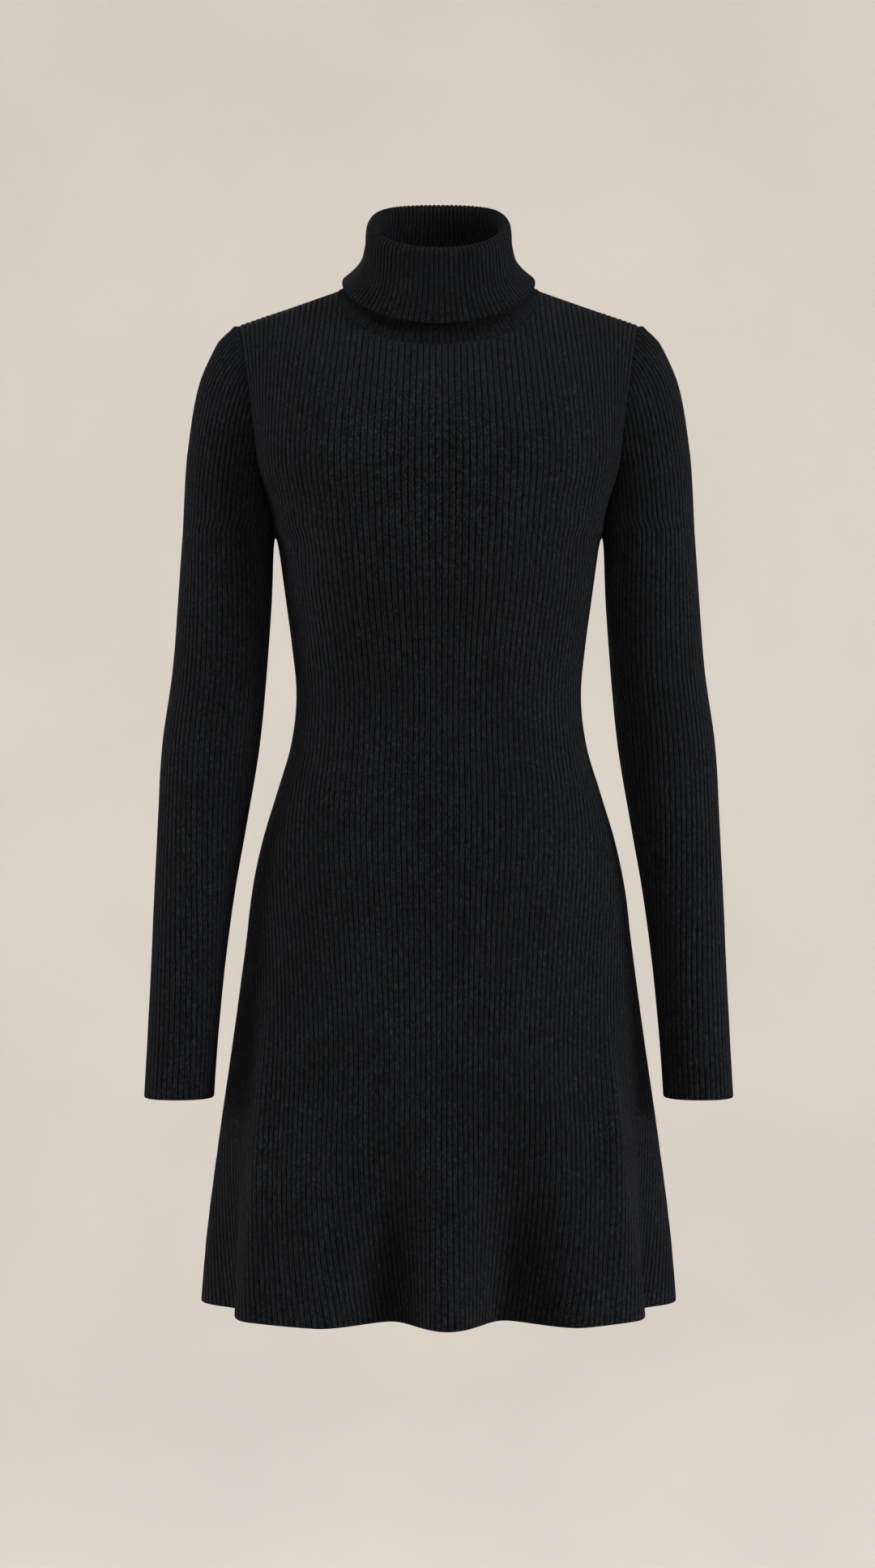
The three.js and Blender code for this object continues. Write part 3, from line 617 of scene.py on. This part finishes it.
def laid_out(rows, half_ribs, creases, closed_rows):
    """Places and normals of the grid's points, with how far each is across the ribs, along the cloth and
    from the side seams. A column stays on its rib, and one past the end of a row is gathered at the seam."""
    normal = unit(np.cross(np.gradient(rows, axis=1), np.gradient(rows, axis=0)))
    for k in closed_rows:
        up = rows[min(k + 1, len(rows) - 1), 0] - rows[max(k - 1, 0), 0]
        normal[k, 0] = normal[k, -1] = unit(np.cross(rows[k, 1] - rows[k, -2], up))
    widest = int(math.ceil(half_ribs.max()))
    ribs = np.arange(-widest, widest + 1)
    columns = (ribs[:, None] + np.array(RIB_COLUMNS)).ravel()
    shape = (len(rows), len(columns))
    place, facing = np.empty((*shape, 3)), np.empty((*shape, 3))
    across, from_seam = np.empty(shape), np.empty(shape)
    q = np.linspace(-1, 1, rows.shape[1])
    up_middle = run_along(rows[:, rows.shape[1] // 2])
    for k, half in enumerate(half_ribs):
        s = np.clip(columns, -half, half)
        fade = np.clip((half - np.abs(columns)) / SWAY_FADE, 0, 1)
        sway = SWAY * uneven(np.round(columns), up_middle[k]) * fade
        place[k] = resampled(rows[k], (s + sway) / half, q)
        facing[k] = resampled(normal[k], (s + sway) / half, q)
        pitch = run_along(rows[k])[-1] / (2 * half)
        across[k], from_seam[k] = s, (half - np.abs(s)) * pitch
    facing = unit(facing)
    steps = np.linalg.norm(np.diff(place, axis=0), axis=-1)
    along = np.concatenate([np.zeros((1, shape[1])), np.cumsum(steps, axis=0)])
    for crease in creases:
        place = place + facing * crease(place)[..., None]
    return place, facing, across, along, from_seam


def soft_crease(start, end, width, depth):
    """A soft trough or ridge between two points of the cloth, deepest in its middle."""
    start, end = np.array(start, float), np.array(end, float)
    line = end - start
    length = np.linalg.norm(line)

    def at(place):
        share = ((place - start) @ line) / length**2
        nearest = start + np.clip(share, 0, 1)[..., None] * line
        away = np.linalg.norm(place - nearest, axis=-1)
        taper = np.sin(math.pi * np.clip(share, *CREASE_TAPER))
        return depth * taper * np.exp(-((away / width) ** 2))

    return at


def mesh_object(name, bm):
    """A smooth-shaded object from a finished bmesh, linked to the scene."""
    for face in bm.faces:
        face.smooth = True
    mesh = bpy.data.meshes.new(name)
    bm.to_mesh(mesh)
    bm.free()
    made = bpy.data.objects.new(name, mesh)
    bpy.context.scene.collection.objects.link(made)
    return made


def knit_piece(name, rows, half_ribs, cloth, seam_end=True, closed_rows=(), creases=(), mirrored=False):
    """A closed wall of rib knit from its rows, as a mesh object. It is sewn on along its last row, or else
    its first, and along the sides of the rows that aren't closed."""
    place, facing, across, along, from_seam = laid_out(rows, half_ribs, creases, closed_rows)
    to_end = along[-1] - along
    free, sewn = (along, to_end) if seam_end else (to_end, along)
    open_rows = np.array([k not in closed_rows for k in range(len(rows))])
    sewn = np.where(open_rows[:, None], np.minimum(sewn, from_seam), sewn)
    edge = np.minimum(rounded(free), rounded(sewn, SEAM_ROUND, SEAM_LEAST))
    relief = smooth(sewn / RIB_FADE)
    core, rib_out, rib_in = cloth.core / MM, cloth.rib_out / MM, cloth.rib_in / MM
    fade = np.clip(from_seam / UNEVEN_FADE, 0, 1)
    height = 1 + RIB_UNEVEN * uneven(np.round(across) + 5, along) * fade
    ribs_out = relief * height * crest(across) + RIB_PRESSED * (1 - relief)
    ribs_in = relief * crest(across + 0.5) + RIB_PRESSED * (1 - relief)
    outside = place + facing * (edge * (core + rib_out * ribs_out))[..., None]
    inside = place - facing * (edge * (core + rib_in * ribs_in))[..., None]
    turned = np.array([-1, 1, 1]) if mirrored else np.array([1, 1, 1])
    outside, inside = outside * turned * MM, inside * turned * MM
    row_count, column_count = across.shape

    bm = bmesh.new()
    bmesh.ops.create_grid(bm, x_segments=column_count - 1, y_segments=row_count - 1, size=1)
    row_of = bm.verts.layers.int.new("row")
    column_of = bm.verts.layers.int.new("column")
    for v in bm.verts:
        v[column_of] = round((v.co.x + 1) / 2 * (column_count - 1))
        v[row_of] = round((v.co.y + 1) / 2 * (row_count - 1))
    ribs_map = bm.loops.layers.uv.new("ribs")
    for face in bm.faces:
        for loop in face.loops:
            row, column = loop.vert[row_of], loop.vert[column_of]
            loop[ribs_map].uv = (across[row, column], along[row, column] * MM)
    for v in bm.verts:
        v.co = outside[v[row_of], v[column_of]]
    bmesh.ops.remove_doubles(bm, verts=bm.verts, dist=MERGE)
    if mirrored:
        bmesh.ops.reverse_faces(bm, faces=bm.faces)
    inner = bm.verts[:]
    bmesh.ops.extrude_face_region(bm, geom=bm.faces[:], use_keep_orig=True)
    for v in inner:
        v.co = inside[v[row_of], v[column_of]]
    return mesh_object(name, bm)


# Materials


def new_group(name, inputs, outputs):
    """An empty shader node group with named sockets, and its input and output nodes."""
    group = bpy.data.node_groups.new(name, "ShaderNodeTree")
    for kind, label, default in inputs:
        socket = group.interface.new_socket(label, in_out="INPUT", socket_type=kind)
        if default is not None:
            socket.default_value = default
    for kind, label in outputs:
        group.interface.new_socket(label, in_out="OUTPUT", socket_type=kind)
    return group, group.nodes.new("NodeGroupInput"), group.nodes.new("NodeGroupOutput")


def feed(tree, socket, value):
    """Sets a socket to a plain number, or links another node's output to it."""
    if isinstance(value, (int, float)):
        socket.default_value = value
    else:
        tree.links.new(value, socket)


def math_node(tree, operation, *values):
    """The output of a Math node fed by sockets or plain numbers."""
    node = tree.nodes.new("ShaderNodeMath")
    node.operation = operation
    for socket, value in zip(node.inputs, values):
        feed(tree, socket, value)
    return node.outputs[0]


def noise_node(tree, place, scale, detail, roughness=0.5):
    """The strength of a Noise Texture at a place."""
    node = tree.nodes.new("ShaderNodeTexNoise")
    for label, value in (("Vector", place), ("Scale", scale), ("Detail", detail), ("Roughness", roughness)):
        feed(tree, node.inputs[label], value)
    return node.outputs["Fac"]


def ramp_node(tree, value, low, high, to_low=0.0, to_high=1.0):
    """A value carried smoothly from one range to another, and no further."""
    node = tree.nodes.new("ShaderNodeMapRange")
    node.interpolation_type = "SMOOTHSTEP"
    tree.links.new(value, node.inputs["Value"])
    for label, number in (("From Min", low), ("From Max", high), ("To Min", to_low), ("To Max", to_high)):
        node.inputs[label].default_value = number
    return node.outputs["Result"]


def stitch_group():
    """Knit stitches that follow the ribs map: two wales of V stitches on each crest, and the groove. The knit
    material uses them for its bump and for painted shade.
    """
    group, given, made = new_group(
        "rib_knit_stitches",
        [("NodeSocketVector", "Ribs", None), ("NodeSocketFloat", "Stitch Height", 0.0017)],
        [("NodeSocketFloat", "Height"), ("NodeSocketFloat", "Groove"), ("NodeSocketFloat", "Speck")],
    )
    split = group.nodes.new("ShaderNodeSeparateXYZ")
    group.links.new(given.outputs["Ribs"], split.inputs[0])
    from_crest = math_node(group, "ABSOLUTE", math_node(group, "WRAP", split.outputs["X"], 0.5, -0.5))
    groove = ramp_node(group, from_crest, GROOVE_START, GROOVE_END)
    wale = math_node(group, "DIVIDE", from_crest, WALE_WIDTH)
    leg = math_node(group, "ABSOLUTE", math_node(group, "MULTIPLY_ADD", wale, 2.0, -1.0))
    turns = math_node(group, "DIVIDE", split.outputs["Y"], given.outputs["Stitch Height"])
    slanted = math_node(group, "MULTIPLY_ADD", leg, -LEG_SLANT, turns)
    wave = math_node(group, "COSINE", math_node(group, "MULTIPLY", slanted, math.tau))
    rise = math_node(group, "MULTIPLY_ADD", wave, LEG_RELIEF, 1 - LEG_RELIEF)
    # the wale is lower towards its sides; the knit material also turns this height into painted shade
    wale_shape = math_node(group, "MULTIPLY_ADD", math_node(group, "POWER", leg, 3.0), -LEG_ROUND, 1.0)
    on_crest = math_node(group, "SUBTRACT", 1.0, groove)
    height = math_node(group, "MULTIPLY", math_node(group, "MULTIPLY", rise, wale_shape), on_crest)
    group.links.new(height, made.inputs["Height"])
    group.links.new(groove, made.inputs["Groove"])
    cell = group.nodes.new("ShaderNodeCombineXYZ")
    legs = math_node(group, "MULTIPLY_ADD", split.outputs["X"], 4.0, 2.0)
    group.links.new(math_node(group, "FLOOR", legs), cell.inputs["X"])
    group.links.new(math_node(group, "FLOOR", slanted), cell.inputs["Y"])
    chance = group.nodes.new("ShaderNodeTexWhiteNoise")
    chance.noise_dimensions = "2D"
    group.links.new(cell.outputs["Vector"], chance.inputs["Vector"])
    group.links.new(chance.outputs["Value"], made.inputs["Speck"])
    return group


def fuzz_group():
    """Loose fibres and uneven dye: fine specks, and a slow change of tone over the cloth."""
    group, given, made = new_group(
        "yarn_fuzz",
        [
            ("NodeSocketVector", "Place", None),
            ("NodeSocketFloat", "Fibre Scale", 1300.0),
            ("NodeSocketFloat", "Patch Scale", 14.0),
        ],
        [("NodeSocketFloat", "Fibres"), ("NodeSocketFloat", "Patches")],
    )
    place = given.outputs["Place"]
    fibres = noise_node(group, place, given.outputs["Fibre Scale"], 2.0)
    patches = noise_node(group, place, given.outputs["Patch Scale"], 7.0, 0.62)
    group.links.new(ramp_node(group, fibres, 0.3, 0.72), made.inputs["Fibres"])
    group.links.new(ramp_node(group, patches, 0.3, 0.7), made.inputs["Patches"])
    return group


def new_material(name):
    """A material with its node tree, its shader and the object's own coordinates."""
    material = bpy.data.materials.new(name)
    material.use_nodes = True
    tree = material.node_tree
    place = tree.nodes.new("ShaderNodeTexCoord").outputs["Object"]
    return material, tree, tree.nodes["Principled BSDF"], place


def fuzz_node(tree, place):
    """The group of loose fibres and uneven dye, at a place."""
    node = tree.nodes.new("ShaderNodeGroup")
    node.node_tree = bpy.data.node_groups.get("yarn_fuzz") or fuzz_group()
    tree.links.new(place, node.inputs["Place"])
    return node


def paint(tree, shader, colour, tone, roughness, specular):
    """Gives a shader one colour in changing tones, its roughness and its reflection."""
    scaled = tree.nodes.new("ShaderNodeVectorMath")
    scaled.operation = "SCALE"
    scaled.inputs[0].default_value = colour
    tree.links.new(tone, scaled.inputs["Scale"])
    tree.links.new(scaled.outputs["Vector"], shader.inputs["Base Color"])
    feed(tree, shader.inputs["Roughness"], roughness)
    shader.inputs["Specular IOR Level"].default_value = specular


# How the patterns change the yarn's tone: the share of each, and the tone where it is nought. The two stitch
# rows are painted shade, darker in the grooves and between the stitches and lighter on their tops; the
# patches are uneven dye
TONES = (
    ("stitches", "Height", 0.7, 0.6),
    ("stitches", "Groove", -0.6, 1.0),
    ("fuzz", "Patches", 0.26, 0.87),
)


def knit_material(name, cloth, shade):
    """Charcoal rib knit, with painted shade in its grooves and between its stitches. shade is painted shade:
    how much darker the whole piece's yarn is drawn beside the cloth's own colour.
    """
    material, tree, shader, place = new_material(name)
    stitches = tree.nodes.new("ShaderNodeGroup")
    stitches.node_tree = bpy.data.node_groups.get("rib_knit_stitches") or stitch_group()
    stitches.inputs["Stitch Height"].default_value = cloth.stitch_height
    ribs = tree.nodes.new("ShaderNodeUVMap")
    ribs.uv_map = "ribs"
    tree.links.new(ribs.outputs["UV"], stitches.inputs["Ribs"])
    patterns = {"stitches": stitches, "fuzz": fuzz_node(tree, place)}
    fibres, chance = patterns["fuzz"].outputs["Fibres"], stitches.outputs["Speck"]

    tone = math_node(tree, "MULTIPLY_ADD", fibres, cloth.fuzz, 1 - 0.5 * cloth.fuzz)
    # the stitch rows of TONES paint shade into the grooves and between the stitches
    for pattern, output, share, base in TONES:
        change = math_node(tree, "MULTIPLY_ADD", patterns[pattern].outputs[output], share, base)
        tone = math_node(tree, "MULTIPLY", tone, change)
    light_fibre = ramp_node(tree, chance, 0.8, 1.0, 0.0, 0.6)  # in a fifth of the stitches
    speck = math_node(tree, "ADD", chance, 0.4)
    tone = math_node(tree, "MULTIPLY", tone, math_node(tree, "ADD", speck, light_fibre))
    # painted shade: the whole piece's yarn is drawn darker by the shade factor
    colour = [channel * shade for channel in cloth.colour]
    paint(tree, shader, colour, tone, math_node(tree, "MULTIPLY_ADD", fibres, 0.12, 0.84), SPECULAR)
    shader.inputs["Sheen Weight"].default_value = cloth.sheen
    shader.inputs["Sheen Roughness"].default_value = SHEEN_ROUGHNESS
    shader.inputs["Sheen Tint"].default_value = SHEEN_TINT

    height = math_node(tree, "MULTIPLY_ADD", fibres, 0.6, stitches.outputs["Height"])
    height = math_node(tree, "MULTIPLY_ADD", chance, 0.3, height)
    bump = tree.nodes.new("ShaderNodeBump")
    bump.inputs["Strength"].default_value = BUMP_STRENGTH
    bump.inputs["Distance"].default_value = BUMP_DEPTH
    tree.links.new(height, bump.inputs["Height"])
    tree.links.new(bump.outputs["Normal"], shader.inputs["Normal"])
    return material


def yarn_material(name, cloth):
    """The same yarn as a single strand, with its loose fibres."""
    material, tree, shader, place = new_material(name)
    tone = math_node(tree, "MULTIPLY_ADD", fuzz_node(tree, place).outputs["Fibres"], cloth.fuzz, 0.6)
    paint(tree, shader, cloth.colour, tone, 0.9, SPECULAR)
    return material


def studio_material(name, colour):
    """Plain wall paint with a faint change of tone."""
    material, tree, shader, place = new_material(name)
    tone = ramp_node(tree, noise_node(tree, place, 1.4, 5.0), 0.25, 0.75, 0.97, 1.03)
    paint(tree, shader, colour, tone, 0.95, 0.1)
    return material


def finish_piece(piece, node, material):
    """Gives a piece its material and puts it on the body in place of its plain solid."""
    piece.data.materials.append(material)
    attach(piece, "root")
    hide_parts(node)


# What a user can change


class DressCloth(bpy.types.PropertyGroup):
    core: bpy.props.FloatProperty(
        name="Core", description="Half the cloth's thickness in a groove", default=0.35 * MM, unit="LENGTH"
    )
    rib_out: bpy.props.FloatProperty(
        name="Outer ribs", description="Height of the ribs outside", default=1.0 * MM, unit="LENGTH"
    )
    rib_in: bpy.props.FloatProperty(
        name="Inner ribs", description="Height of the ribs inside", default=0.75 * MM, unit="LENGTH"
    )
    stitch_height: bpy.props.FloatProperty(
        name="Stitch", description="Height of one knit stitch", default=1.7 * MM, unit="LENGTH", precision=5
    )
    colour: bpy.props.FloatVectorProperty(
        name="Yarn", description="Colour of the yarn", default=(0.0039, 0.0044, 0.0051), subtype="COLOR"
    )
    # painted shade: the sleeves' copy of the yarn is drawn this much darker than the body's
    sleeve_painted_shade: bpy.props.FloatProperty(
        name="Sleeve tone", description="Tone of the sleeves beside the body", default=0.98, subtype="FACTOR"
    )
    # painted shade: the collar's copy of the yarn is drawn this much darker than the body's
    collar_painted_shade: bpy.props.FloatProperty(
        name="Collar tone", description="Tone of the collar beside the body", default=0.72, subtype="FACTOR"
    )
    fuzz: bpy.props.FloatProperty(
        name="Fuzz", description="How much loose fibres lighten the yarn", default=1.1, subtype="FACTOR"
    )
    sheen: bpy.props.FloatProperty(
        name="Sheen", description="Soft shine of the fibres seen at a slant", default=0.02, subtype="FACTOR"
    )


class DressShape(bpy.types.PropertyGroup):
    folds: bpy.props.FloatProperty(
        name="Folds", description="Depth of the skirt's folds beside the pattern's", default=1.0
    )
    creases: bpy.props.FloatProperty(
        name="Creases", description="Depth of the soft creases beside the pattern's", default=1.0
    )


class DressStage(bpy.types.PropertyGroup):
    floor: bpy.props.FloatProperty(
        name="Floor", description="Height of the studio floor", default=-2.6, unit="LENGTH"
    )
    radius: bpy.props.FloatProperty(
        name="Radius", description="Radius of the round studio", default=6.5, unit="LENGTH"
    )
    paint: bpy.props.FloatVectorProperty(
        name="Paint", description="Colour of the studio", default=(0.56, 0.53, 0.497), subtype="COLOR"
    )
    distance: bpy.props.FloatProperty(
        name="Distance", description="From the camera to the side seams", default=2.6, unit="LENGTH"
    )
    room: bpy.props.FloatProperty(name="Room", description="Strength of the even room light", default=0.42)
    right: bpy.props.FloatProperty(
        name="Right", description="Power of the light on the right", default=260, unit="POWER"
    )
    left: bpy.props.FloatProperty(
        name="Left", description="Power of the light on the left", default=175, unit="POWER"
    )
    top: bpy.props.FloatProperty(
        name="Top", description="Power of the light above", default=350, unit="POWER"
    )
    back: bpy.props.FloatProperty(
        name="Back", description="Power of the light behind", default=110, unit="POWER"
    )


# Operators


def body_creases(side, share):
    """The creases of one panel and the crests of its outer folds."""
    facing = 1 if side == "front" else -BACK_REACH
    made = []
    for turn, strength in CREASE_SHARES.items():
        for (x0, y0, z0), (x1, y1, z1), width, depth in SIDE_CREASES:
            start = (turn * x0, facing * y0, z0 + turn * CREASE_SHIFT[0])
            end = (turn * x1, facing * y1, z1 + turn * CREASE_SHIFT[1])
            made.append(soft_crease(start, end, width, depth * strength * share))
    for (x0, y0, z0), (x1, y1, z1), width, depth in FOLD_CRESTS:
        made.append(soft_crease((x0, facing * y0, z0), (x1, facing * y1, z1), width, depth * share))
    return made


class DRESS_OT_panels(bpy.types.Operator):
    """Knits the front and the back"""

    bl_idname = "dress.panels"
    bl_label = "Front and back"

    def execute(self, context):
        cloth, shape = context.scene.dress_cloth, context.scene.dress_shape
        material = knit_material("body_knit", cloth, 1.0)
        for side in ("front", "back"):
            creases = body_creases(side, shape.creases)
            piece = knit_piece(f"knit_{side}", *body_rows(side, shape.folds), cloth, creases=creases)
            finish_piece(piece, side, material)
        return {"FINISHED"}


class DRESS_OT_sleeves(bpy.types.Operator):
    """Knits the two set-in sleeves"""

    bl_idname = "dress.sleeves"
    bl_label = "Sleeves"

    def execute(self, context):
        cloth, shape = context.scene.dress_cloth, context.scene.dress_shape
        # painted shade: the sleeves get a darker copy of the body's knit
        material = knit_material("sleeve_knit", cloth, cloth.sleeve_painted_shade)
        rows, half_ribs = sleeve_rows()
        closed = [k for k, row in enumerate(rows) if row[0, 2] <= UNDERARM]
        for name, mirrored, strength in (("right", False, 1.0), ("left", True, 0.8)):
            creases = [
                soft_crease(start, end, width, depth * strength * shape.creases)
                for start, end, width, depth in SLEEVE_CREASES
            ]
            options = {"closed_rows": closed, "creases": creases, "mirrored": mirrored}
            piece = knit_piece(f"knit_sleeve_{name}", rows, half_ribs, cloth, **options)
            finish_piece(piece, f"sleeve_{name}", material)
        return {"FINISHED"}


class DRESS_OT_collar(bpy.types.Operator):
    """Knits the collar and folds it over"""

    bl_idname = "dress.collar"
    bl_label = "Roll collar"

    def execute(self, context):
        cloth = context.scene.dress_cloth
        rows, half_ribs = collar_rows()
        every = range(len(rows))
        piece = knit_piece("knit_collar", rows, half_ribs, cloth, seam_end=False, closed_rows=every)
        # painted shade: the collar gets a darker copy of the body's knit
        finish_piece(piece, "collar", knit_material("collar_knit", cloth, cloth.collar_painted_shade))
        return {"FINISHED"}


class DRESS_OT_linking(bpy.types.Operator):
    """Links the collar to the neckline with a row of slanted stitches"""

    bl_idname = "dress.linking"
    bl_label = "Linking stitches"

    def execute(self, context):
        cloth = context.scene.dress_cloth
        shape = Matrix.Rotation(LINK_SLANT, 4, "Z") @ Matrix.Diagonal((*(side * MM for side in LINK_SIZE), 1))
        rise = cloth.core + cloth.rib_out * LINK_SEAT
        neck_depth = COLLAR["front"][0]
        bm = bmesh.new()
        for sign in (-1, 1):
            line = neckline_seam(sign)
            run = run_along(line)
            stops = np.arange(LINK_PITCH / 2, run[-1], LINK_PITCH)
            seats = resampled(line, stops, run)
            ahead = resampled(line, stops + LINK_STEP, run) - resampled(line, stops - LINK_STEP, run)
            for seat, way in zip(seats, ahead):
                along = Vector(way).normalized()
                out = Vector((LINK_SIDE * seat[0] / NECK_X, seat[1] / neck_depth, LINK_UP))
                out = (out - out.project(along)).normalized()
                turned = Matrix((along, out.cross(along), out)).transposed().to_4x4()
                seated = Matrix.Translation(Vector(seat) * MM + out * rise)
                bmesh.ops.create_icosphere(bm, subdivisions=2, radius=1, matrix=seated @ turned @ shape)
        piece = mesh_object("linking", bm)
        piece.data.materials.append(yarn_material("linking_yarn", cloth))
        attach(piece, "root")
        return {"FINISHED"}


def round_lamp(name, place, aim, size, power):
    """A round area lamp that faces its aim and that the camera doesn't see."""
    data = bpy.data.lights.new(name, "AREA")
    data.shape, data.size, data.energy, data.color = "DISK", size, power, LAMP_TINT
    lamp = bpy.data.objects.new(name, data)
    lamp.location = place
    lamp.rotation_euler = (Vector(aim) - Vector(place)).to_track_quat("-Z", "Y").to_euler()
    lamp.visible_camera = False
    bpy.context.scene.collection.objects.link(lamp)


class DRESS_OT_stage(bpy.types.Operator):
    """Makes the pale round studio, its soft lights and the camera"""

    bl_idname = "dress.stage"
    bl_label = "Studio"

    def execute(self, context):
        stage = context.scene.dress_stage
        floor_radius = stage.radius - BEND
        profile = [(0, 0), (floor_radius, 0)]
        for i in range(1, BEND_STEPS + 1):
            turn = math.pi / 2 * i / BEND_STEPS
            profile.append((floor_radius + BEND * math.sin(turn), BEND * (1 - math.cos(turn))))
        profile.append((stage.radius, WALL))
        bm = bmesh.new()
        chain = [bm.verts.new((x, 0, stage.floor + z)) for x, z in profile]
        edges = [bm.edges.new(pair) for pair in zip(chain, chain[1:])]
        whole = {"cent": (0, 0, 0), "axis": (0, 0, 1), "angle": math.tau, "steps": ROUND_STEPS}
        bmesh.ops.spin(bm, geom=[*chain, *edges], use_merge=True, **whole)
        bmesh.ops.remove_doubles(bm, verts=bm.verts, dist=1e-5)
        bmesh.ops.recalc_face_normals(bm, faces=bm.faces)
        studio = mesh_object("studio", bm)
        studio.visible_shadow = False  # the room's light comes in through the wall
        studio.data.materials.append(studio_material("studio_paint", stage.paint))

        middle = (0, 0, (cad_low.z + cad_high.z) / 2)
        for name, place, size in LAMPS:
            round_lamp(name, place, middle, size, getattr(stage, name))
        world = bpy.data.worlds.new("soft_room")
        world.use_nodes = True
        background = world.node_tree.nodes["Background"]
        background.inputs["Color"].default_value = ROOM_TINT
        background.inputs["Strength"].default_value = stage.room
        context.scene.world = world
        context.scene.view_settings.view_transform = "Standard"

        camera = bpy.data.cameras.new("camera")
        camera.sensor_width = SENSOR
        camera.lens = LENS
        eye = bpy.data.objects.new("camera", camera)
        eye.location = (EYE_X, -stage.distance, EYE_Z)
        eye.rotation_euler = (math.pi / 2, 0, 0)
        context.scene.collection.objects.link(eye)
        context.scene.camera = eye
        return {"FINISHED"}


class DRESS_PT_sidebar(bpy.types.Panel):
    bl_label = "Sweater dress"
    bl_idname = "DRESS_PT_sidebar"
    bl_space_type = "VIEW_3D"
    bl_region_type = "UI"
    bl_category = "Dress"

    def draw(self, context):
        for group in ("dress_cloth", "dress_shape", "dress_stage"):
            settings = getattr(context.scene, group)
            box = self.layout.box()
            for name in settings.__annotations__:
                box.prop(settings, name)
        for operator in OPERATORS:
            self.layout.operator(operator.bl_idname)


GROUPS = {"dress_cloth": DressCloth, "dress_shape": DressShape, "dress_stage": DressStage}
OPERATORS = (DRESS_OT_panels, DRESS_OT_sleeves, DRESS_OT_collar, DRESS_OT_linking, DRESS_OT_stage)


def register():
    for cls in (*GROUPS.values(), *OPERATORS, DRESS_PT_sidebar):
        bpy.utils.register_class(cls)
    for name, cls in GROUPS.items():
        setattr(bpy.types.Scene, name, bpy.props.PointerProperty(type=cls))


def unregister():
    for name in GROUPS:
        delattr(bpy.types.Scene, name)
    for cls in reversed((*GROUPS.values(), *OPERATORS, DRESS_PT_sidebar)):
        bpy.utils.unregister_class(cls)


def main():
    register()
    bpy.ops.dress.panels()
    bpy.ops.dress.sleeves()
    bpy.ops.dress.collar()
    bpy.ops.dress.linking()
    bpy.ops.dress.stage()


if __name__ == "__main__":
    main()
